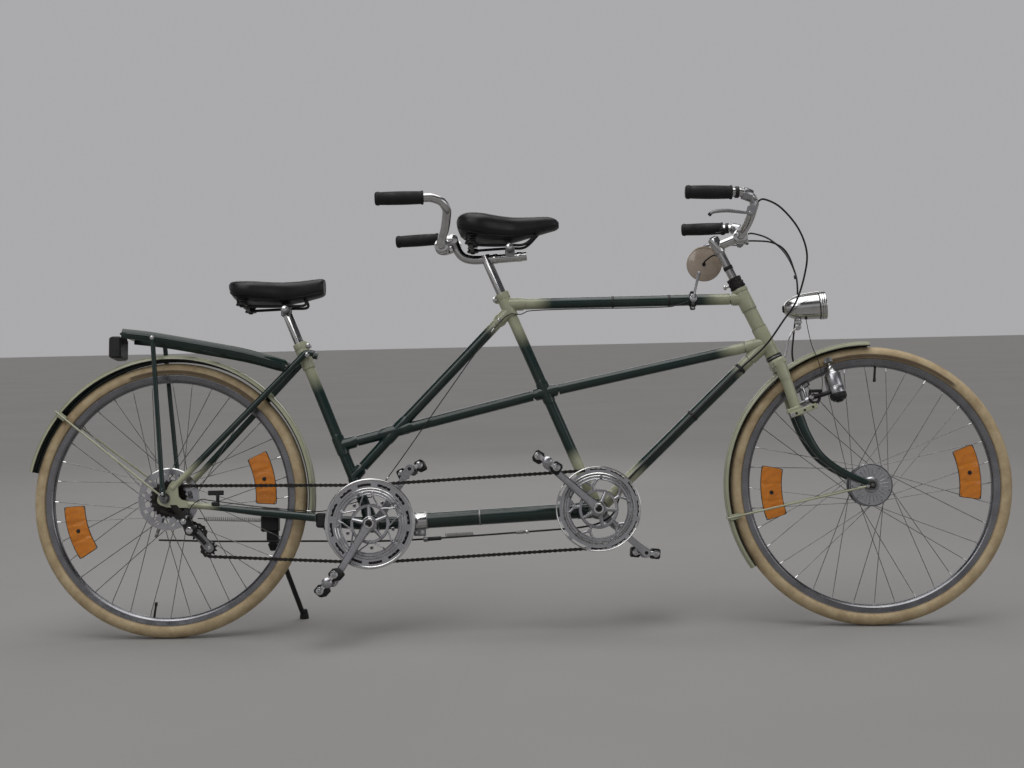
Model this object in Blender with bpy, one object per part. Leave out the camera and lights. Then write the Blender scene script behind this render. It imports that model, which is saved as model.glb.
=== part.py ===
"""Tandem bicycle. Metres, +X forward, +Y to the rider's left, +Z up."""
import math

import bmesh
import bpy
from mathutils import Matrix, Vector

# ---- sizes, in the upright bicycle's own frame: rear hub above x = 0, ground at z = 0
WHEEL_R = 0.350
TYRE_R = 0.019
HUB_Z = 0.350
WHEELBASE = 1.774
LEAN = math.radians(8.7)          # onto the side stand
STEER = math.radians(-4.6)        # front wheel turned a little to the right
HEAD_ANGLE = math.radians(65.2)
HEAD_AXIS = Vector((-math.cos(HEAD_ANGLE), 0, math.sin(HEAD_ANGLE)))
HEAD_P = Vector((1.566, 0, 0.642))
ORIGIN_X = 0.8803
ORIGIN_Y = 0.1255
GAP = 0.0003

FRONT_BB = Vector((1.088, 0, 0.303))
REAR_BB = Vector((0.515, 0, 0.277))
SEAT1 = Vector((-0.3853, 0, 0.9228))
SEAT2 = Vector((-0.3683, 0, 0.9297))
CRANK_L = 0.168
FRONT_CRANK = math.radians(138)
REAR_CRANK = math.radians(238)
RING_PITCH = 0.0971               # 48 teeth, half-inch pitch
COG_PITCH = 0.0326                # 16 teeth
JOCKEY_PITCH = 0.0205             # 10 teeth
Y_DRIVE = -0.0440
Y_TIMING = -0.0515
GUIDE = Vector((0.078, 0, 0.262))
TENSION = Vector((0.110, 0, 0.2235))

for old in list(bpy.data.objects):
    bpy.data.objects.remove(old, do_unlink=True)
for old in list(bpy.data.meshes):
    bpy.data.meshes.remove(old)

COLORS = {
    "frame_green": ((0.012, 0.025, 0.022, 1), 0.3, 0.3),
    "cream": ((0.40, 0.40, 0.28, 1), 0.1, 0.35),
    "chrome": ((0.75, 0.75, 0.75, 1), 1.0, 0.15),
    "alloy": ((0.55, 0.55, 0.55, 1), 1.0, 0.35),
    "steel": ((0.30, 0.30, 0.30, 1), 1.0, 0.4),
    "black": ((0.012, 0.012, 0.012, 1), 0.0, 0.5),
    "tyre": ((0.50, 0.37, 0.20, 1), 0.0, 0.8),
    "orange": ((0.75, 0.13, 0.01, 1), 0.0, 0.25),
    "chain": ((0.03, 0.028, 0.026, 1), 0.8, 0.45),
    "mirror": ((0.45, 0.38, 0.30, 1), 0.3, 0.15),
}


def material(name):
    mat = bpy.data.materials.get(name)
    if mat is None:
        mat = bpy.data.materials.new(name)
        mat.use_nodes = True
        color, metal, rough = COLORS[name]
        shader = mat.node_tree.nodes["Principled BSDF"]
        shader.inputs["Base Color"].default_value = color
        shader.inputs["Metallic"].default_value = metal
        shader.inputs["Roughness"].default_value = rough
    return mat


def V(x, y, z):
    return Vector((x, y, z))


def head(t, y=0.0):
    return HEAD_P + HEAD_AXIS * t + V(0, y, 0)


# ---- bodies: one empty per moving piece, on its joint axis
ORIGINS = {}
EMPTIES = {}


def body(name, origin, parent=None, matrix=None):
    empty = bpy.data.objects.new(name + "_pivot", None)
    bpy.context.collection.objects.link(empty)
    ORIGINS[name] = Vector(origin)
    EMPTIES[name] = empty
    local = Matrix.Translation(ORIGINS[name] - (ORIGINS[parent] if parent else Vector()))
    if parent:
        empty.parent = EMPTIES[parent]
    empty.matrix_basis = matrix @ local if parent is None else local @ (matrix or Matrix())


def contact_height(steer, pitch):
    """Lowest point of the front tyre over the floor, once leaned, steered and pitched."""
    lean = place(pitch)
    turn = Matrix.Rotation(steer, 4, HEAD_AXIS)
    low = 1.0
    for k in range(721):
        a = math.radians(180 + k * 0.25)
        p = V(WHEELBASE + (WHEEL_R - TYRE_R) * math.cos(a), 0,
              HUB_Z + (WHEEL_R - TYRE_R) * math.sin(a))
        p = HEAD_P + (turn @ (p - HEAD_P))
        low = min(low, (lean @ p).z)
    return low - TYRE_R


def place(pitch):
    tilt = Matrix.Translation(V(0, 0, TYRE_R)) @ Matrix.Rotation(-LEAN, 4, "X")
    tilt = tilt @ Matrix.Rotation(pitch, 4, "Y") @ Matrix.Translation(V(0, 0, -TYRE_R))
    return Matrix.Translation(V(-ORIGIN_X, -ORIGIN_Y, 0)) @ tilt


PITCH = 0.0
for _ in range(4):
    PITCH += contact_height(STEER, PITCH) / WHEELBASE

body("frame", (0, 0, 0), None, place(PITCH))
body("steering", HEAD_P, "frame", Matrix.Rotation(STEER, 4, HEAD_AXIS))


def finish(name, bm, where, mat):
    bmesh.ops.translate(bm, verts=bm.verts, vec=-ORIGINS[where])
    bmesh.ops.recalc_face_normals(bm, faces=bm.faces)
    mesh = bpy.data.meshes.new(name)
    bm.to_mesh(mesh)
    bm.free()
    obj = bpy.data.objects.new(name, mesh)
    bpy.context.collection.objects.link(obj)
    obj.parent = EMPTIES[where]
    if mat:
        mesh.materials.append(material(mat))
        mat_copy = mesh.materials[0]
        if mat_copy.name != name:
            own = mat_copy.copy()
            own.name = name + "_" + mat
            mesh.materials[0] = own
    return obj


def cutter(obj, target, mode):
    obj.hide_render = True
    obj.display_type = "WIRE"
    mod = target.modifiers.new(obj.name, "BOOLEAN")
    mod.operation = mode
    mod.solver = "EXACT"
    mod.object = obj


def make(name, where, mat, build, add=(), cut=()):
    """A node from a base shape, shapes fused to it and shapes cut from it."""
    bm = bmesh.new()
    build(bm)
    obj = finish(name, bm, where, mat)
    for k, shape in enumerate(add):
        extra = bmesh.new()
        shape(extra)
        cutter(finish(f"{name}_add{k}", extra, where, None), obj, "UNION")
    for k, shape in enumerate(cut):
        extra = bmesh.new()
        shape(extra)
        cutter(finish(f"{name}_cut{k}", extra, where, None), obj, "DIFFERENCE")
    return obj


# ---- shape builders: each returns a function that adds one closed body to a bmesh
def frame_of(direction, hint=None):
    d = direction.normalized()
    ref = hint or (V(0, 1, 0) if abs(d.y) < 0.9 else V(1, 0, 0))
    u = (ref - d * ref.dot(d)).normalized()
    return u, d.cross(u)


def loft(bm, rings, closed=False):
    """Skin a list of equal rings of points; caps the ends unless closed."""
    loops = [[bm.verts.new(p) for p in ring] for ring in rings]
    n = len(loops[0])
    count = len(loops) if closed else len(loops) - 1
    for k in range(count):
        a, b = loops[k], loops[(k + 1) % len(loops)]
        for i in range(n):
            j = (i + 1) % n
            bm.faces.new((a[i], a[j], b[j], b[i]))
    if not closed:
        bm.faces.new(list(reversed(loops[0])))
        bm.faces.new(loops[-1])


def rod(p, q, r, r2=None, n=12, hint=None, flat=1.0, start=None):
    p, q = Vector(p), Vector(q)
    u, v = frame_of(q - p, hint)
    turn = math.pi / n if start is None else start

    def build(bm):
        rings = []
        for c, rr in ((p, r), (q, r if r2 is None else r2)):
            rings.append([c + u * rr * math.cos(2 * math.pi * i / n + turn)
                          + v * rr * flat * math.sin(2 * math.pi * i / n + turn) for i in range(n)])
        loft(bm, rings)
    return build


def sweep(points, radii, n=10, closed=False, flat=1.0, hint=None):
    pts = [Vector(p) for p in points]
    if not isinstance(radii, (list, tuple)):
        radii = [radii] * len(pts)

    def build(bm):
        rings = []
        u = None
        for k, p in enumerate(pts):
            if closed:
                d = pts[(k + 1) % len(pts)] - pts[k - 1]
            else:
                d = pts[min(k + 1, len(pts) - 1)] - pts[max(k - 1, 0)]
            d.normalize()
            if hint is not None or u is None:
                u, v = frame_of(d, hint)
            else:
                u = (u - d * u.dot(d)).normalized()
                v = d.cross(u)
            rings.append([p + u * radii[k] * math.cos(2 * math.pi * i / n)
                          + v * radii[k] * flat * math.sin(2 * math.pi * i / n) for i in range(n)])
        loft(bm, rings, closed)
    return build


def smooth(points, per=2):
    """Catmull-Rom through the points."""
    pts = [Vector(p) for p in points]
    out = []
    for k in range(len(pts) - 1):
        a = pts[max(k - 1, 0)]
        b, c = pts[k], pts[k + 1]
        d = pts[min(k + 2, len(pts) - 1)]
        for i in range(per):
            t = i / per
            out.append(0.5 * (2 * b + (c - a) * t + (2 * a - 5 * b + 4 * c - d) * t * t
                              + (3 * b - a - 3 * c + d) * t ** 3))
    out.append(pts[-1])
    return out


def ring_y(centre, profile, n=48):
    """Closed ring about a Y axis from a closed (radius, y) profile."""
    c = Vector(centre)

    def build(bm):
        rings = []
        for k in range(n):
            a = 2 * math.pi * k / n
            rings.append([c + V(r * math.cos(a), y, r * math.sin(a)) for r, y in profile])
        loft(bm, rings, True)
    return build


def disc_y(centre, y0, y1, r, n=16):
    c = Vector(centre)
    return rod(V(c.x, y0, c.z), V(c.x, y1, c.z), r, n=n)


def plate_y(outline, y0, y1):
    """Prism from an (x, z) outline between two y."""
    def build(bm):
        loft(bm, [[V(x, y, z) for x, z in outline] for y in (y0, y1)])
    return build


def box(centre, size, axes=None):
    c = Vector(centre)
    a = axes or (V(1, 0, 0), V(0, 1, 0), V(0, 0, 1))

    def build(bm):
        rings = []
        for s in (-1, 1):
            rings.append([c + a[0] * size[0] / 2 * sx + a[1] * size[1] / 2 * sy + a[2] * size[2] / 2 * s
                          for sx, sy in ((-1, -1), (1, -1), (1, 1), (-1, 1))])
        loft(bm, rings)
    return build


def several(*shapes):
    def build(bm):
        for shape in shapes:
            shape(bm)
    return build


def polar(centre, r, a, y=None):
    c = Vector(centre)
    return V(c.x + r * math.cos(a), c.y if y is None else y, c.z + r * math.sin(a))


# ---- frame tubes
TOP_Z = 0.8345
HEAD_TOP = head((TOP_Z - HEAD_P.z) / HEAD_AXIS.z)
HEAD_LOW = head((0.719 - HEAD_P.z) / HEAD_AXIS.z)
SEAT1_TOP = FRONT_BB + SEAT1 * 0.606
SEAT1_AT_TOP = FRONT_BB + SEAT1 * ((TOP_Z - FRONT_BB.z) / SEAT1.z)
CROSS1 = FRONT_BB + SEAT1 * ((0.604 - FRONT_BB.z) / SEAT1.z)
SEAT2_TOP = REAR_BB + SEAT2 * 0.502
LATERAL_END = REAR_BB + SEAT2 * ((0.479 - REAR_BB.z) / SEAT2.z)
DIAG_END = REAR_BB + SEAT2 * ((0.397 - REAR_BB.z) / SEAT2.z)
DIAG_TOP = FRONT_BB + SEAT1 * ((0.818 - FRONT_BB.z) / SEAT1.z)
CROSS2 = V(0.577, 0, 0.514)
TUBE = 0.0143
LUG = 0.0168


def along(a, b, d):
    return a + (b - a).normalized() * d


def tube_between(a, b, da, db, r=TUBE, n=12):
    return rod(along(a, b, da + GAP), along(b, a, db + GAP), r, n=n)


make("head_tube", "frame", "cream", rod(head(0.041), head(0.237), 0.0180, n=16),
     add=[rod(HEAD_TOP, V(1.440, 0, TOP_Z), LUG),
          several(rod(HEAD_LOW, along(HEAD_LOW, CROSS1, 0.060), LUG)),
          rod(HEAD_LOW, along(HEAD_LOW, FRONT_BB, 0.066), LUG),
          several(rod(head(0.038), head(0.048), 0.0205, n=16), rod(head(0.2305), head(0.240), 0.0205, n=16))],
     cut=[rod(head(0.0), head(0.28), 0.0150, n=16)])
make("lateral_tube_front", "frame", "frame_green", tube_between(HEAD_LOW, CROSS1, 0.060, 0.034, 0.0135))
make("down_tube", "frame", "frame_green", tube_between(HEAD_LOW, FRONT_BB, 0.066, 0.060, 0.0150))
make("top_and_captain_seat_tube", "frame", "frame_green", rod(FRONT_BB, SEAT1_TOP, TUBE),
     add=[rod(FRONT_BB + SEAT1 * 0.545, FRONT_BB + SEAT1 * 0.607, 0.0172),
          rod(SEAT1_AT_TOP, V(1.440 - GAP, 0, TOP_Z), TUBE),
          rod(V(1.336, 0, TOP_Z), V(1.354, 0, TOP_Z), 0.0165),
          rod(V(1.345, -0.010, TOP_Z), V(1.345, -0.0215, TOP_Z), 0.0080, n=12),
          rod(SEAT1_AT_TOP, V(SEAT1_AT_TOP.x + 0.045, 0, TOP_Z), 0.0166),
          rod(DIAG_TOP, along(DIAG_TOP, CROSS2, 0.048), 0.0158),
          rod(along(CROSS1, HEAD_LOW, 0), along(CROSS1, HEAD_LOW, 0.034), 0.0158),
          rod(along(CROSS1, CROSS2, 0), along(CROSS1, CROSS2, 0.034), 0.0158),
          disc_y(FRONT_BB, -0.034, 0.034, 0.0250),
          rod(FRONT_BB, along(FRONT_BB, HEAD_LOW, 0.060), 0.0172),
          rod(FRONT_BB, along(FRONT_BB, REAR_BB, 0.052), 0.0215),
          rod(FRONT_BB + SEAT1 * 0.594 + V(-0.022, -0.011, -0.004),
              FRONT_BB + SEAT1 * 0.594 + V(-0.022, 0.011, -0.004), 0.0065, n=10),
          box(FRONT_BB + SEAT1 * 0.592 + V(-0.016, 0, -0.004), (0.014, 0.012, 0.020))],
     cut=[rod(SEAT1_TOP - SEAT1 * 0.235, SEAT1_TOP + SEAT1 * 0.02, 0.0131, n=16),
          disc_y(FRONT_BB, -0.05, 0.05, 0.0105)])
make("stoker_seat_and_keel_tube", "frame", "frame_green", rod(REAR_BB, SEAT2_TOP, TUBE),
     add=[rod(along(REAR_BB, FRONT_BB, 0.115), along(FRONT_BB, REAR_BB, 0.052 + GAP), 0.0200, n=16),
          rod(REAR_BB, along(REAR_BB, FRONT_BB, 0.13), 0.0160),
          rod(along(REAR_BB, FRONT_BB, 0.100), along(REAR_BB, FRONT_BB, 0.1395), 0.0222, n=16),
          rod(along(REAR_BB, FRONT_BB, 0.272), along(REAR_BB, FRONT_BB, 0.276), 0.0206, n=16),
          box(along(REAR_BB, FRONT_BB, 0.120) + V(0, -0.002, -0.028), (0.026, 0.012, 0.020)),
          rod(REAR_BB + SEAT2 * 0.440, REAR_BB + SEAT2 * 0.503, 0.0170),
          rod(LATERAL_END, along(LATERAL_END, CROSS2, 0.045), 0.0158),
          rod(DIAG_END, along(DIAG_END, CROSS2, 0.036), 0.0158),
          disc_y(REAR_BB, -0.034, 0.034, 0.0215),
          rod(REAR_BB, along(REAR_BB, FRONT_BB, 0.046), 0.0175),
          rod(REAR_BB, V(0.395, 0, 0.2885), 0.0165),
          box(V(0.390, 0, 0.2885), (0.024, 0.094, 0.036)),
          box(REAR_BB + SEAT2 * 0.492 + V(0.017, 0, 0.004), (0.014, 0.012, 0.020)),
          rod(REAR_BB + SEAT2 * 0.492 + V(0.021, -0.010, 0.004),
              REAR_BB + SEAT2 * 0.492 + V(0.021, 0.010, 0.004), 0.0055, n=10)],
     cut=[rod(SEAT2_TOP - SEAT2 * 0.185, SEAT2_TOP + SEAT2 * 0.02, 0.0131, n=16),
          disc_y(REAR_BB, -0.05, 0.05, 0.0105)])
make("crossed_rear_tubes", "frame", "frame_green",
     rod(along(DIAG_TOP, CROSS2, 0.048 + GAP), CROSS2, 0.0135),
     add=[rod(CROSS2, along(DIAG_END, CROSS2, 0.036 + GAP), 0.0135),
          rod(along(CROSS1, CROSS2, 0.034 + GAP), along(LATERAL_END, CROSS2, 0.045 + GAP), 0.0137),
          rod(along(CROSS2, DIAG_TOP, 0.045), along(CROSS2, DIAG_END, 0.045), 0.0152)])

# ---- side stand: its leg turns about STAND_A, back and up beside the wheel
STAND_P = V(0.250, 0.0960, 0.2370)
FOOT = V(0.303, 0.2200, 0.0340)
UP = place(PITCH).to_3x3().inverted() @ V(0, 0, 1)
FOOT -= UP * ((place(PITCH) @ FOOT).z - 0.0030)
STAND_LEG = (FOOT - STAND_P).normalized()
STAND_A = STAND_LEG.cross(V(-0.98, 0.15, 0.05)).normalized()

# ---- rear stays: one side at a time
for side, s in (("right", -1), ("left", 1)):
    yd = s * 0.0625
    outline = [(-0.020, 0.345), (-0.012, 0.334), (0.004, 0.328), (0.030, 0.326), (0.078, 0.326),
               (0.086, 0.338), (0.040, 0.345), (0.034, 0.362), (0.032, 0.392), (0.018, 0.394),
               (0.006, 0.372), (-0.014, 0.366)]
    extras = [sweep([V(0.074, s * 0.0605, 0.3325), V(0.24, s * 0.0500, 0.3115), V(0.3757, s * 0.0395, 0.2957)],
                    [0.0085, 0.0100, 0.0105], n=12),
              rod(V(0.018, s * 0.0612, 0.376), V(0.350, s * 0.0262, 0.7165), 0.0080, n=12),
              sweep([V(0.372, s * 0.0262, 0.7140), V(0.350, s * 0.0262, 0.7165), V(0.336, s * 0.0262, 0.7020)],
                    [0.0085, 0.0085, 0.0080], n=12)]
    if side == "right":
        extras.append(plate_y([(0.014, 0.332), (0.030, 0.332), (0.060, 0.292), (0.052, 0.284), (0.040, 0.296)],
                              -0.0650, -0.0600))
    else:
        extras += [box(V(0.240, 0.0740, 0.2950), (0.046, 0.026, 0.062)),
                   box(V(0.246, 0.0740, 0.2530), (0.030, 0.018, 0.026)),
                   box(STAND_P - STAND_A * 0.0165, (0.024, 0.024, 0.018),
                       (STAND_LEG, STAND_A.cross(STAND_LEG), STAND_A)),
                   box(V(0.240, 0.0600, 0.3110), (0.020, 0.030, 0.012)),
                   rod(V(0, -0.084, HUB_Z), V(0, 0.080, HUB_Z), 0.0050, n=12),
                   several(rod(V(0, -0.0655, HUB_Z), V(0, -0.0790, HUB_Z), 0.0105, n=6),
                           rod(V(0, 0.0640, HUB_Z), V(0, 0.0760, HUB_Z), 0.0105, n=6)),
                   rod(V(0, 0.0505, HUB_Z), V(0, 0.0535, HUB_Z), 0.0480, n=20),
                   rod(V(0, 0.0525, HUB_Z), V(0, 0.0610, HUB_Z), 0.0180, n=16),
                   rod(V(-0.034, 0.052, 0.322), V(-0.034, 0.060, 0.322), 0.0060, n=10)]
    make(f"rear_stays_{side}", "frame", "frame_green", plate_y(outline, yd - 0.0025, yd + 0.0025),
         add=extras, cut=[disc_y(V(0, 0, HUB_Z), yd - 0.01, yd + 0.01, 0.0056, n=16)] if s < 0 else [])

# ---- wheels
FRONT_HUB = V(WHEELBASE, 0, HUB_Z)
REAR_HUB = V(0, 0, HUB_Z)
body("rear_wheel", REAR_HUB, "frame")
body("front_wheel", FRONT_HUB, "steering")
TYRE_PROFILE = [(0.3186, 0.0128), (0.3300, 0.0190), (0.3420, 0.0157), (0.3482, 0.0082),
                (0.3500, 0.0), (0.3482, -0.0082), (0.3420, -0.0157), (0.3300, -0.0190), (0.3186, -0.0128)]
RIM_PROFILE = [(0.3180, 0.0128), (0.3050, 0.0128), (0.2985, 0.0), (0.3050, -0.0128), (0.3180, -0.0128)]


def spokes(hub, flange_r, y_right, y_left):
    shapes = []
    for k in range(36):
        y_f = y_right if k % 2 == 0 else y_left
        lead = 1 if (k // 2) % 2 == 0 else -1
        side = -1 if y_f < 0 else 1
        a = 2 * math.pi * k / 36
        b = a - lead * math.radians(58)
        y_spread = y_f + side * (0.0018 if lead > 0 else -0.0018)
        shapes.append(rod(polar(hub, flange_r - 0.004, b, y_spread),
                          polar(hub, 0.3015, a, y_f * 0.06), 0.0012, n=3))
    return several(*shapes)


def reflector(name, where, hub, a_mid, y0):
    def arc(bm):
        rings = []
        for k in range(9):
            a = a_mid + (k / 8 - 0.5) * (0.125 / 0.245)
            rings.append([polar(hub, r, a, y) for r, y in
                          ((0.2215, y0), (0.2705, y0), (0.2705, y0 - 0.0035), (0.2460, y0 - 0.0050),
                           (0.2215, y0 - 0.0035))])
        loft(bm, rings)
    make(name, where, "orange", arc)


for name, hub in (("rear", REAR_HUB), ("front", FRONT_HUB)):
    where = name + "_wheel"
    make(name + "_tyre", where, "tyre", ring_y(hub, TYRE_PROFILE, 44))
    if name == "rear":
        flange, yr, yl = 0.036, -0.0190, 0.0310
        barrel = [(0.0060, yr - 0.0018), (0.0060, yl + 0.0185), (0.0500, yl + 0.0185), (0.0500, yl - 0.0018),
                  (0.0190, yl - 0.0018), (0.0190, yr + 0.0018), (0.0400, yr + 0.0018), (0.0400, yr - 0.0018)]
        extra = [several(rod(V(0, yr - 0.0010, HUB_Z), V(0, yr - 0.0042, HUB_Z), 0.0190, n=16)),
                 ring_y(hub, [(0.0150, yr - 0.0058), (0.0780, yr - 0.0068), (0.0780, yr - 0.0056),
                              (0.0170, yr - 0.0030)], 20)]
        hole = [disc_y(hub, -0.06, 0.06, 0.0060, n=16)]
        flange_l = 0.050
    else:
        flange, yr, yl = 0.050, -0.0290, 0.0290
        barrel = [(0.0058, yr - 0.0060), (0.0058, yl + 0.0060), (0.0170, yl + 0.0060), (0.0200, yl + 0.0020),
                  (0.0535, yl + 0.0020), (0.0535, yl - 0.0020), (0.0165, yl - 0.0020),
                  (0.0165, yr + 0.0020), (0.0535, yr + 0.0020), (0.0535, yr - 0.0020),
                  (0.0200, yr - 0.0020), (0.0170, yr - 0.0060)]
        extra, hole, flange_l = [], [], 0.0535
    make(where, where, "alloy",
         several(ring_y(hub, RIM_PROFILE, 44), ring_y(hub, barrel, 12)),
         add=extra + [spokes(hub, min(flange, flange_l), yr, yl)], cut=hole)
reflector("rear_reflector_forward", "rear_wheel", REAR_HUB, math.radians(11), -0.0105)
reflector("rear_reflector_aft", "rear_wheel", REAR_HUB, math.radians(198), -0.0105)
reflector("front_reflector_forward", "front_wheel", FRONT_HUB, math.radians(6), -0.0125)
reflector("front_reflector_aft", "front_wheel", FRONT_HUB, math.radians(183), -0.0125)
# ---- freewheel
body("freewheel", REAR_HUB, "frame")
cogs = []
for k, teeth in enumerate((16, 18, 20, 22, 24)):
    pitch = 0.0127 / 2 / math.sin(math.pi / teeth)
    y = Y_DRIVE + 0.0042 * k
    cut_r = pitch - 0.0056 if k == 0 else pitch - 0.0005
    cogs.append((cut_r, y))
profile = [(0.0064, cogs[0][1] - 0.0045)]
profile.append((0.0170, cogs[0][1] - 0.0045))
for cut_r, y in cogs:
    profile += [(0.0170, y - 0.0009), (cut_r, y - 0.0009), (cut_r, y + 0.0009), (0.0170, y + 0.0009)]
profile = profile[:-1] + [(0.0170, cogs[-1][1] + 0.0009)]
profile.append((0.0064, cogs[-1][1] + 0.0009))
make("freewheel", "freewheel", "chain", ring_y(REAR_HUB, profile, 12))

# ---- cranksets and pedals
def crank_arm(bb, a, y_root, y_tip, s):
    u = V(math.cos(a), 0, math.sin(a))
    w = V(-math.sin(a), 0, math.cos(a))

    def build(bm):
        rings = []
        for t, wide, thick in ((-0.014, 0.010, 0.014), (0.0, 0.0150, 0.016), (0.030, 0.0115, 0.0135),
                               (0.100, 0.0090, 0.0110), (0.150, 0.0095, 0.0110), (0.168, 0.0120, 0.0120),
                               (0.178, 0.0080, 0.0120)):
            y = y_root + (y_tip - y_root) * max(0.0, min(1.0, t / CRANK_L))
            c = bb + u * t + V(0, y - bb.y, 0)
            rings.append([c + w * wide * sw + V(0, thick / 2 * sy, 0)
                          for sw, sy in ((-1, 0), (-0.6, -1), (0.6, -1), (1, 0), (0.6, 1), (-0.6, 1))])
        loft(bm, rings)
    return build


def spider(bb, a, arms, r_in, r_out, wide, y0, y1):
    shapes = []
    for k in range(arms):
        b = a + 2 * math.pi * k / arms
        u = V(math.cos(b), 0, math.sin(b))
        w = V(-math.sin(b), 0, math.cos(b))
        shapes.append(box(bb + u * (r_in + r_out) / 2 + V(0, (y0 + y1) / 2, 0),
                          (r_out - r_in, wide, abs(y1 - y0)), (u, w, V(0, 1, 0))))
    return shapes


for name, bb, a, guard_in, guard_out in (("front", FRONT_BB, FRONT_CRANK, 0.0880, 0.1065),
                                         ("rear", REAR_BB, REAR_CRANK, 0.0880, 0.1135)):
    where = name + "_cranks"
    body(where, bb, "frame")
    rings = [ring_y(bb, [(0.0760, -0.0525), (0.0922, -0.0525), (0.0922, -0.0505), (0.0760, -0.0505)], 26)]
    if name == "rear":
        rings.append(ring_y(bb, [(0.0760, -0.0450), (0.0922, -0.0450), (0.0922, -0.0430), (0.0760, -0.0430)], 26))
    guard = ring_y(bb, [(guard_in, -0.0575), (guard_out, -0.0575), (guard_out, -0.0560), (guard_in, -0.0560)], 26)
    arms = spider(bb, a + math.pi / 5, 5, 0.012, 0.0900, 0.014, -0.0440 if name == "rear" else -0.0515, -0.0570)
    make(name + "_chainset", where, "alloy",
         rod(V(bb.x, -0.0800, bb.z), V(bb.x, 0.0440, bb.z), 0.0085, n=16),
         add=[disc_y(bb, -0.0400, -0.0700, 0.0190, n=16), several(*rings, guard), several(arms[0], arms[1]),
              several(arms[2]), several(arms[3]), several(arms[4]),
              crank_arm(bb, a, -0.0700, -0.0840, -1)])
    make(name + "_crank_left", where, "alloy", crank_arm(bb, a + math.pi, 0.0560, 0.0760, 1),
         add=[disc_y(bb, 0.0420, 0.0660, 0.0140, n=16)],
         cut=[disc_y(bb, 0.030, 0.0443, 0.0088, n=16)])

PEDALS = (("front_pedal_right", "front_cranks", FRONT_BB, FRONT_CRANK, -1, -33),
          ("front_pedal_left", "front_cranks", FRONT_BB, FRONT_CRANK + math.pi, 1, -6),
          ("rear_pedal_right", "rear_cranks", REAR_BB, REAR_CRANK, -1, 48),
          ("rear_pedal_left", "rear_cranks", REAR_BB, REAR_CRANK + math.pi, 1, 25))
for name, parent, bb, a, s, tilt in PEDALS:
    eye = polar(bb, CRANK_L, a, s * (0.0915 if s < 0 else 0.0835))
    body(name, eye, parent)
    t = math.radians(tilt)
    u, w = V(math.cos(t), 0, math.sin(t)), V(-math.sin(t), 0, math.cos(t))
    axes = (u, V(0, 1, 0), w)
    mid = eye + V(0, s * 0.051, 0)
    make(name, name, "black", rod(eye + V(0, s * 0.0005, 0), eye + V(0, s * 0.100, 0), 0.0085, n=12),
         add=[box(eye + V(0, s * 0.0105, 0), (0.078, 0.0035, 0.020), axes),
              box(eye + V(0, s * 0.0920, 0), (0.078, 0.0035, 0.020), axes),
              several(box(mid + u * 0.026, (0.023, 0.078, 0.027), axes),
                      box(mid - u * 0.026, (0.023, 0.078, 0.027), axes))])

# ---- chains
def belt(circles, step):
    """Closed loop round (x, z, r, turn) circles; turn +1 passes counter-clockwise."""
    n = len(circles)
    tangents = []
    for k in range(n):
        x0, z0, r0, s0 = circles[k]
        x1, z1, r1, s1 = circles[(k + 1) % n]
        dx, dz = x1 - x0, z1 - z0
        dist = math.hypot(dx, dz)
        base = math.atan2(dz, dx)
        turn = math.asin((s0 * r0 - s1 * r1) / dist)
        d = base + turn
        nx, nz = math.sin(d), -math.cos(d)
        tangents.append(((x0 + s0 * r0 * nx, z0 + s0 * r0 * nz), (x1 + s1 * r1 * nx, z1 + s1 * r1 * nz)))
    out = []
    for k in range(n):
        x, z, r, s = circles[k]
        a_in, a_out = tangents[k - 1][1], tangents[k][0]
        a0 = math.atan2(a_in[1] - z, a_in[0] - x)
        a1 = math.atan2(a_out[1] - z, a_out[0] - x)
        span = (a1 - a0) * s % (2 * math.pi)
        count = max(2, round(span * r / min(step, r * 0.4)))
        for i in range(count + 1):
            a = a0 + s * span * i / count
            out.append((x + r * math.cos(a), z + r * math.sin(a)))
    return out


def chain(name, circles, y):
    pts = belt(circles, 0.022)
    up = V(0, 1, 0)

    def build(bm):
        rings = []
        n = len(pts)
        for k in range(n):
            d = V(pts[(k + 1) % n][0] - pts[k - 1][0], 0, pts[(k + 1) % n][1] - pts[k - 1][1]).normalized()
            w = d.cross(up)
            c = V(pts[k][0], y, pts[k][1])
            rings.append([c + w * 0.0040 * a + up * 0.0028 * b for a, b in ((-1, -1), (1, -1), (1, 1), (-1, 1))])
        loft(bm, rings, True)
    make(name, "frame", "chain", build)


chain("timing_chain", [(REAR_BB.x, REAR_BB.z, RING_PITCH, -1), (FRONT_BB.x, FRONT_BB.z, RING_PITCH, -1)], Y_TIMING)
chain("drive_chain", [(0.0, HUB_Z, COG_PITCH, -1), (REAR_BB.x, REAR_BB.z, RING_PITCH, -1),
                      (TENSION.x, TENSION.z, JOCKEY_PITCH, -1), (GUIDE.x, GUIDE.z, JOCKEY_PITCH, 1)], Y_DRIVE)

# ---- derailleur
for name, c in (("guide_pulley", GUIDE), ("tension_pulley", TENSION)):
    body(name, c, "frame")
    make(name, name, "black", ring_y(c, [(0.0032, Y_DRIVE - 0.0030), (0.0090, Y_DRIVE - 0.0030),
                                         (0.0154, Y_DRIVE), (0.0090, Y_DRIVE + 0.0030),
                                         (0.0032, Y_DRIVE + 0.0030)], 16))
cage_dir = (TENSION - GUIDE).normalized()


def cage_side(y0, y1):
    w = V(-cage_dir.z, 0, cage_dir.x)
    pts = []
    for k in range(7):
        a = math.pi * k / 6
        pts.append(GUIDE - cage_dir * 0.010 * math.sin(a) + w * 0.010 * math.cos(a))
    for k in range(7):
        a = math.pi * k / 6
        pts.append(TENSION + cage_dir * 0.010 * math.sin(a) - w * 0.010 * math.cos(a))
    return plate_y([(p.x, p.z) for p in pts], y0, y1)


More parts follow.
